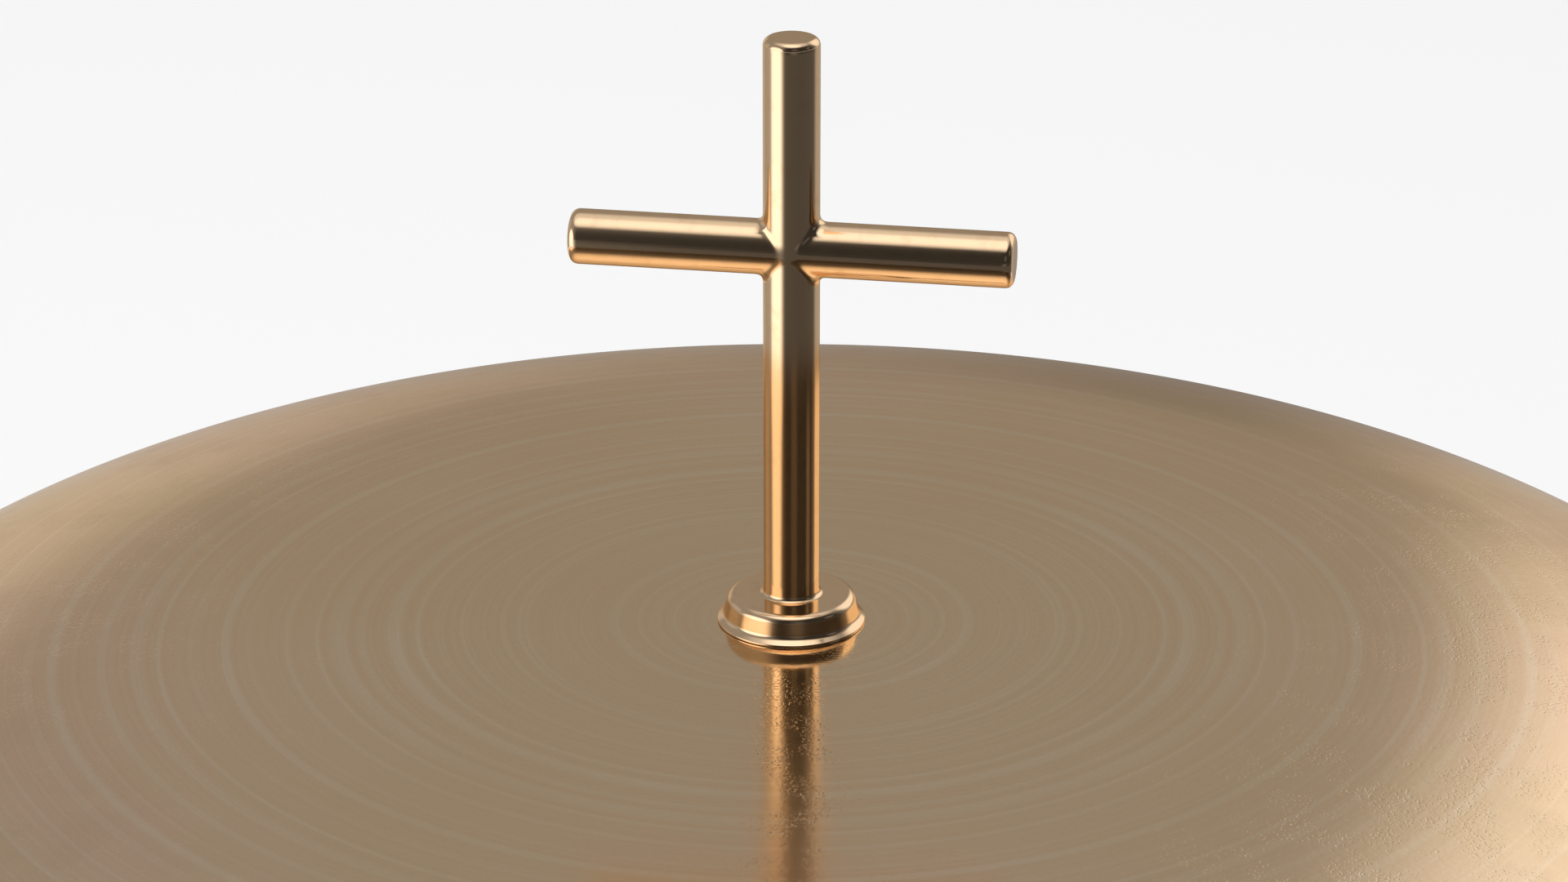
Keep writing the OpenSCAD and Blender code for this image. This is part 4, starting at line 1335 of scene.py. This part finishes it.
@dataclass
class Hammer:
    """The hammer on its pin in the key's fork: arm, head, boxwood tip and the felt it rests on."""

    pin_x: float = 112.0
    pin_z: float = 40.0
    rest_turn: float = 10.0
    head_r: float = 7.0
    head_len: float = 20.0
    head_edge: float = 1.2
    groove_r: float = 0.7
    groove_inset: float = 2.0
    tip_r: float = 5.0
    tip_len: float = 4.0
    ball_r: float = 8.0
    pad: tuple[float, float, float] = (2.0, 4.0, 9.0)
    pad_back: float = 4.8
    pad_up: float = 5.0
    pad_edge: float = 0.4
    steel_bevel: float = 0.2

    def at_pin(self) -> Matrix:
        """Place of the hammer's pin at rest."""
        return ACTION @ shift(self.pin_x, 0, self.pin_z)

    def head_offset(self) -> Point:
        """How far the head's centre lies out from the pin at rest, and how far above it."""
        low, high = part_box("hammer_head")
        return -(low[1] + high[1]) / 2 / MM - self.pin_x, (low[2] + high[2]) / 2 / MM - self.pin_z

    def at_head(self) -> Matrix:
        """Finds the head's place.

        Returns:
            Place of the head's centre at rest, with Z along the head towards the dome's wall.
        """
        out, up = self.head_offset()
        across = Matrix.Rotation(math.radians(90), 4, "Y")
        return self.at_pin() @ shift(out, 0, up) @ tilt(-self.rest_turn) @ across

    def build_head(self, finishes: Finishes) -> None:
        """Models the turned head with its two grooves.

        Args:
            finishes: All finishes.
        """
        half = self.head_len / 2
        inset = self.head_edge + self.groove_inset
        outline = ([(0.0, -half)]
                   + arc((self.head_r - self.head_edge, self.head_edge - half), self.head_edge, -90, 0, 6)
                   + arc((self.head_r, inset - half), self.groove_r, 270, 90, 8)
                   + arc((self.head_r, half - inset), self.groove_r, 270, 90, 8)
                   + arc((self.head_r - self.head_edge, half - self.head_edge), self.head_edge, 0, 90, 6)
                   + [(0.0, half)])
        head = finish_mesh(spin(outline, 96), "turned_head", self.at_head())
        settle(head, Body.HAMMER, Slot.ACTION_BRASS, finishes, "hammer_head")

    def build_tip(self, finishes: Finishes) -> None:
        """Models the rounded boxwood tip.

        Args:
            finishes: All finishes.
        """
        start = math.degrees(math.acos(self.tip_r / self.ball_r))
        outline = ([(0.0, 0.0), (self.tip_r, 0.0)]
                   + arc((0.0, self.tip_len - self.ball_r), self.ball_r, start, 90, 14))
        tip = finish_mesh(spin(outline, 64), "boxwood_tip", self.at_head() @ shift(0, 0, self.head_len / 2))
        settle(tip, Body.HAMMER, Slot.BOXWOOD, finishes, "hammer_tip")

    def build_pad(self, finishes: Finishes) -> None:
        """Models the felt that the hammer's arm leans on.

        Args:
            finishes: All finishes.
        """
        out, up = self.head_offset()
        lean = math.degrees(math.atan2(-out, up))
        bm = bmesh.new()
        bmesh.ops.create_cube(bm, size=1.0)
        bmesh.ops.scale(bm, vec=Vector(self.pad) * MM, verts=bm.verts)
        bmesh.ops.bevel(bm, geom=bm.edges, offset=self.pad_edge * MM, affect="EDGES", segments=3, profile=0.5,
                        material=-1)
        place = self.at_pin() @ tilt(-lean) @ shift(self.pad[0] / 2 - self.pad_back, 0, self.pad_up + self.pad[2] / 2)
        pad = finish_mesh(bm, "hammer_felt", place, sharp_deg=60)
        settle(pad, Body.KEY, Slot.FELT, finishes, "hammer_rest")

    def build(self, finishes: Finishes) -> None:
        """Models the hammer's pieces and dresses the CAD nodes that stay.

        Args:
            finishes: All finishes.
        """
        self.build_head(finishes)
        self.build_tip(finishes)
        self.build_pad(finishes)
        for node in ("hammer_arm", "hammer_pin", "head_screw"):
            dress_node(node, Slot.STEEL, finishes, self.steel_bevel)


@dataclass(frozen=True)
class SoftLight:
    """A soft patch of light or shade in the room, with a feathered edge."""

    azimuth: float
    elevation: float
    full_deg: float
    edge_deg: float
    level: float


# Both rows of the front card glow alike at their ends
LEFT_GLOW: tuple[Stop, ...] = (
    (-102.0, 0.44), (-93.0, 0.5), (-88.0, 0.9), (-83.0, 1.65), (-52.0, 1.75), (-45.0, 1.6), (-38.0, 0.7),
    (-31.0, 0.16))
RIGHT_GLOW: tuple[Stop, ...] = ((105.0, 0.22), (116.0, 0.46))


@dataclass
class Studio:
    """Camera at the photograph's angle, pale paper floor and soft light.

    Azimuths count from the camera's side towards its right.
    """

    lens_mm: float = 100.0
    sensor_mm: float = 36.0
    frame_px: tuple[int, int] = (1920, 1080)
    crown_px: tuple[float, float] = (968.9, 756.95)
    crown_elevation: float = 24.14
    crown_distance: float = 473.3
    azimuth: float = 9.7
    floor_half: float = 20.0
    floor_z: float = -0.0003
    room_level: float = 0.34
    dark_side: SoftLight = SoftLight(azimuth=32.0, elevation=8.0, full_deg=50.0, edge_deg=86.0, level=0.036)
    lights: Sequence[SoftLight] = (
        SoftLight(azimuth=0.0, elevation=82.0, full_deg=8.0, edge_deg=37.0, level=1.4),
        SoftLight(azimuth=0.0, elevation=98.0, full_deg=8.0, edge_deg=50.0, level=0.86),
        SoftLight(azimuth=-64.0, elevation=4.0, full_deg=21.0, edge_deg=34.0, level=1.6),
        SoftLight(azimuth=138.0, elevation=22.0, full_deg=16.0, edge_deg=34.0, level=1.15),
        SoftLight(azimuth=-118.0, elevation=14.0, full_deg=6.0, edge_deg=30.0, level=0.5),
        SoftLight(azimuth=-158.0, elevation=2.0, full_deg=5.0, edge_deg=27.0, level=0.62),
        SoftLight(azimuth=11.0, elevation=22.0, full_deg=6.0, edge_deg=17.0, level=0.1),
        SoftLight(azimuth=73.0, elevation=24.0, full_deg=4.0, edge_deg=12.0, level=0.18),
    )
    wall_r: float = 0.36
    foot_h: float = 0.002
    seam_h: float = 0.108
    wall_h: float = 0.17
    mat_r: float = 0.16
    back_wall_h: float = 0.165
    mat_from: float = -36.0
    mat_to: float = 104.0
    screen_steps: int = 48
    front_card: Sequence[Stop] = LEFT_GLOW + ((-22.0, 0.082), (97.0, 0.082)) + RIGHT_GLOW
    front_rail: Sequence[Stop] = LEFT_GLOW + (
        (-22.0, 0.036), (-9.0, 0.036), (2.0, 0.15), (15.0, 0.15), (27.0, 0.036), (92.0, 0.036)) + RIGHT_GLOW
    back_card: Sequence[Stop] = (
        (116.0, 0.46), (146.0, 0.48), (152.0, 0.66), (159.0, 0.34), (166.0, 0.24), (174.0, 0.3), (182.0, 0.35),
        (190.0, 0.43), (199.0, 0.52), (209.0, 0.68), (218.0, 0.52), (232.0, 0.42), (258.0, 0.44))
    lamp_size: float = 1.4
    lamp_watts: float = 14.5
    lamp_place: tuple[float, float, float] = (-0.2, -0.2, 1.6)
    clip_m: Span = (0.01, 50.0)

    def heading(self, azimuth: float, elevation: float) -> Vector:
        """Direction from the bell.

        Args:
            azimuth: Degrees from the camera's side towards its right.
            elevation: Degrees above the floor.

        Returns:
            A unit vector.
        """
        turn, rise = math.radians(self.azimuth + azimuth), math.radians(elevation)
        return Vector((math.sin(turn) * math.cos(rise), -math.cos(turn) * math.cos(rise), math.sin(rise)))

    def build_camera(self) -> None:
        """Puts the camera where the dome's crown falls on its measured pixel."""
        focal = self.lens_mm / self.sensor_mm * self.frame_px[0]
        right_px = self.crown_px[0] - self.frame_px[0] / 2
        up_px = self.frame_px[1] / 2 - self.crown_px[1]
        pitch = math.radians(self.crown_elevation) + math.atan(up_px / focal)
        forward = Vector((0, math.cos(pitch), -math.sin(pitch)))
        up = Vector((0, math.sin(pitch), math.cos(pitch)))
        right = Vector((1, 0, 0))
        ray = (forward + right * (right_px / focal) + up * (up_px / focal)).normalized()
        crown = Vector((0, 0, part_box("bell_dome")[1][2]))
        turn = Matrix.Rotation(math.radians(self.azimuth), 4, "Z")
        axes = Matrix((right, up, -forward)).transposed().to_4x4()
        data = bpy.data.cameras.new("photo_camera")
        data.lens = self.lens_mm
        data.sensor_width = self.sensor_mm
        data.clip_start, data.clip_end = self.clip_m
        camera = bpy.data.objects.new("photo_camera", data)
        camera.matrix_world = Matrix.Translation(crown) @ turn @ Matrix.Translation(
            ray * -self.crown_distance * MM) @ axes
        bpy.context.scene.collection.objects.link(camera)
        bpy.context.scene.camera = camera

    def build_floor(self) -> None:
        """Lays the pale paper."""
        bm = bmesh.new()
        bmesh.ops.create_grid(bm, x_segments=8, y_segments=8, size=self.floor_half)
        # Just under the felt, so that the two faces never coincide
        floor = finish_mesh(bm, "paper_floor", Matrix.Translation((0, 0, self.floor_z)))
        floor.data.materials.append(WhitePaper().material())

    def build_screen(self, name: str, start: float, end: float, ends: Sequence[Point],
                     material: bpy.types.Material) -> None:
        """Bends a screen round the bell, which only polished metal shows.

        Args:
            name: Screen's name.
            start: Azimuth of its first edge.
            end: Azimuth of its last edge.
            ends: Radius and height in metres of the two ends of its cross-section.
            material: Its surface.
        """
        bm = bmesh.new()
        verts = [bm.verts.new(self.heading(start, 0.0) * radius + Vector((0, 0, z))) for radius, z in ends]
        edge = bm.edges.new(verts)
        bmesh.ops.spin(bm, geom=verts + [edge], cent=(0, 0, 0), axis=(0, 0, 1), dvec=(0, 0, 0),
                       angle=math.radians(end - start), steps=self.screen_steps, use_merge=False,
                       use_duplicate=False)
        screen = finish_mesh(bm, name)
        screen.data.materials.append(material)
        screen.visible_camera = False
        screen.visible_diffuse = False
        screen.visible_shadow = False

    def build_screens(self) -> None:
        """Bends graded cards round the front, in two rows, and round the back, with dark cloth on the floor."""
        for name, stops, bottom, top in (("card_front", self.front_card, self.foot_h, self.seam_h),
                                         ("card_front_rail", self.front_rail, self.seam_h, self.wall_h),
                                         ("card_back", self.back_card, self.foot_h, self.back_wall_h)):
            self.build_screen(name, stops[0][0], stops[-1][0], ((self.wall_r, bottom), (self.wall_r, top)),
                              GradedCard(name, stops, self.azimuth).material())
        self.build_screen("cloth_mat", self.mat_from, self.mat_to,
                          ((self.mat_r, self.foot_h), (self.wall_r, self.foot_h)), FlagCloth().material())

    def build_light(self) -> None:
        """Lights the room softly from above, from the left and from behind, and leaves its front dark."""
        world = bpy.data.worlds.new("soft_room")
        world.use_nodes = True
        tree = world.node_tree
        way = add(tree, "ShaderNodeTexCoord").outputs["Generated"]

        def patch(light: SoftLight, beyond: float) -> Socket:
            """Works out the brightness of one patch.

            Args:
                light: The patch.
                beyond: Brightness outside its feathered edge.

            Returns:
                Its level inside, fading to that brightness.
            """
            near = add(tree, "ShaderNodeVectorMath", {0: way, 1: self.heading(light.azimuth, light.elevation)},
                       operation="DOT_PRODUCT")
            level = add(tree, "ShaderNodeMapRange", {
                "Value": near.outputs["Value"], "From Min": math.cos(math.radians(light.edge_deg)),
                "From Max": math.cos(math.radians(light.full_deg)), "To Min": beyond, "To Max": light.level},
                interpolation_type="SMOOTHSTEP")
            return level.outputs["Result"]

        total = patch(self.dark_side, self.room_level)
        for light in self.lights:
            total = add(tree, "ShaderNodeMath", {0: total, 1: patch(light, 0.0)}, operation="MAXIMUM").outputs["Value"]
        tree.links.new(total, tree.nodes["Background"].inputs["Strength"])
        tree.nodes["Background"].inputs["Color"].default_value = (1.0, 1.0, 1.0, 1.0)
        bpy.context.scene.world = world
        data = bpy.data.lights.new("box_above", "AREA")
        data.shape = "SQUARE"
        data.size = self.lamp_size
        data.energy = self.lamp_watts
        lamp = bpy.data.objects.new("box_above", data)
        lamp.location = self.lamp_place
        # The polished metal shows the room's own soft light instead
        lamp.visible_camera = False
        lamp.visible_glossy = False
        bpy.context.scene.collection.objects.link(lamp)

    def build(self) -> None:
        """Sets up the view, the floor and the light."""
        bpy.context.scene.view_settings.view_transform = "Standard"
        self.build_camera()
        self.build_floor()
        self.build_light()
        self.build_screens()


def main() -> None:
    """Builds the bell's looks and its studio."""
    logging.basicConfig(level=logging.INFO, format="%(message)s")
    Studio().build()
    finishes = Finishes()
    for part in (Stand(), Dome(), Finial(), Action(), Hammer()):
        log.info("building %s", type(part).__name__)
        part.build(finishes)


if __name__ == "__main__":
    main()
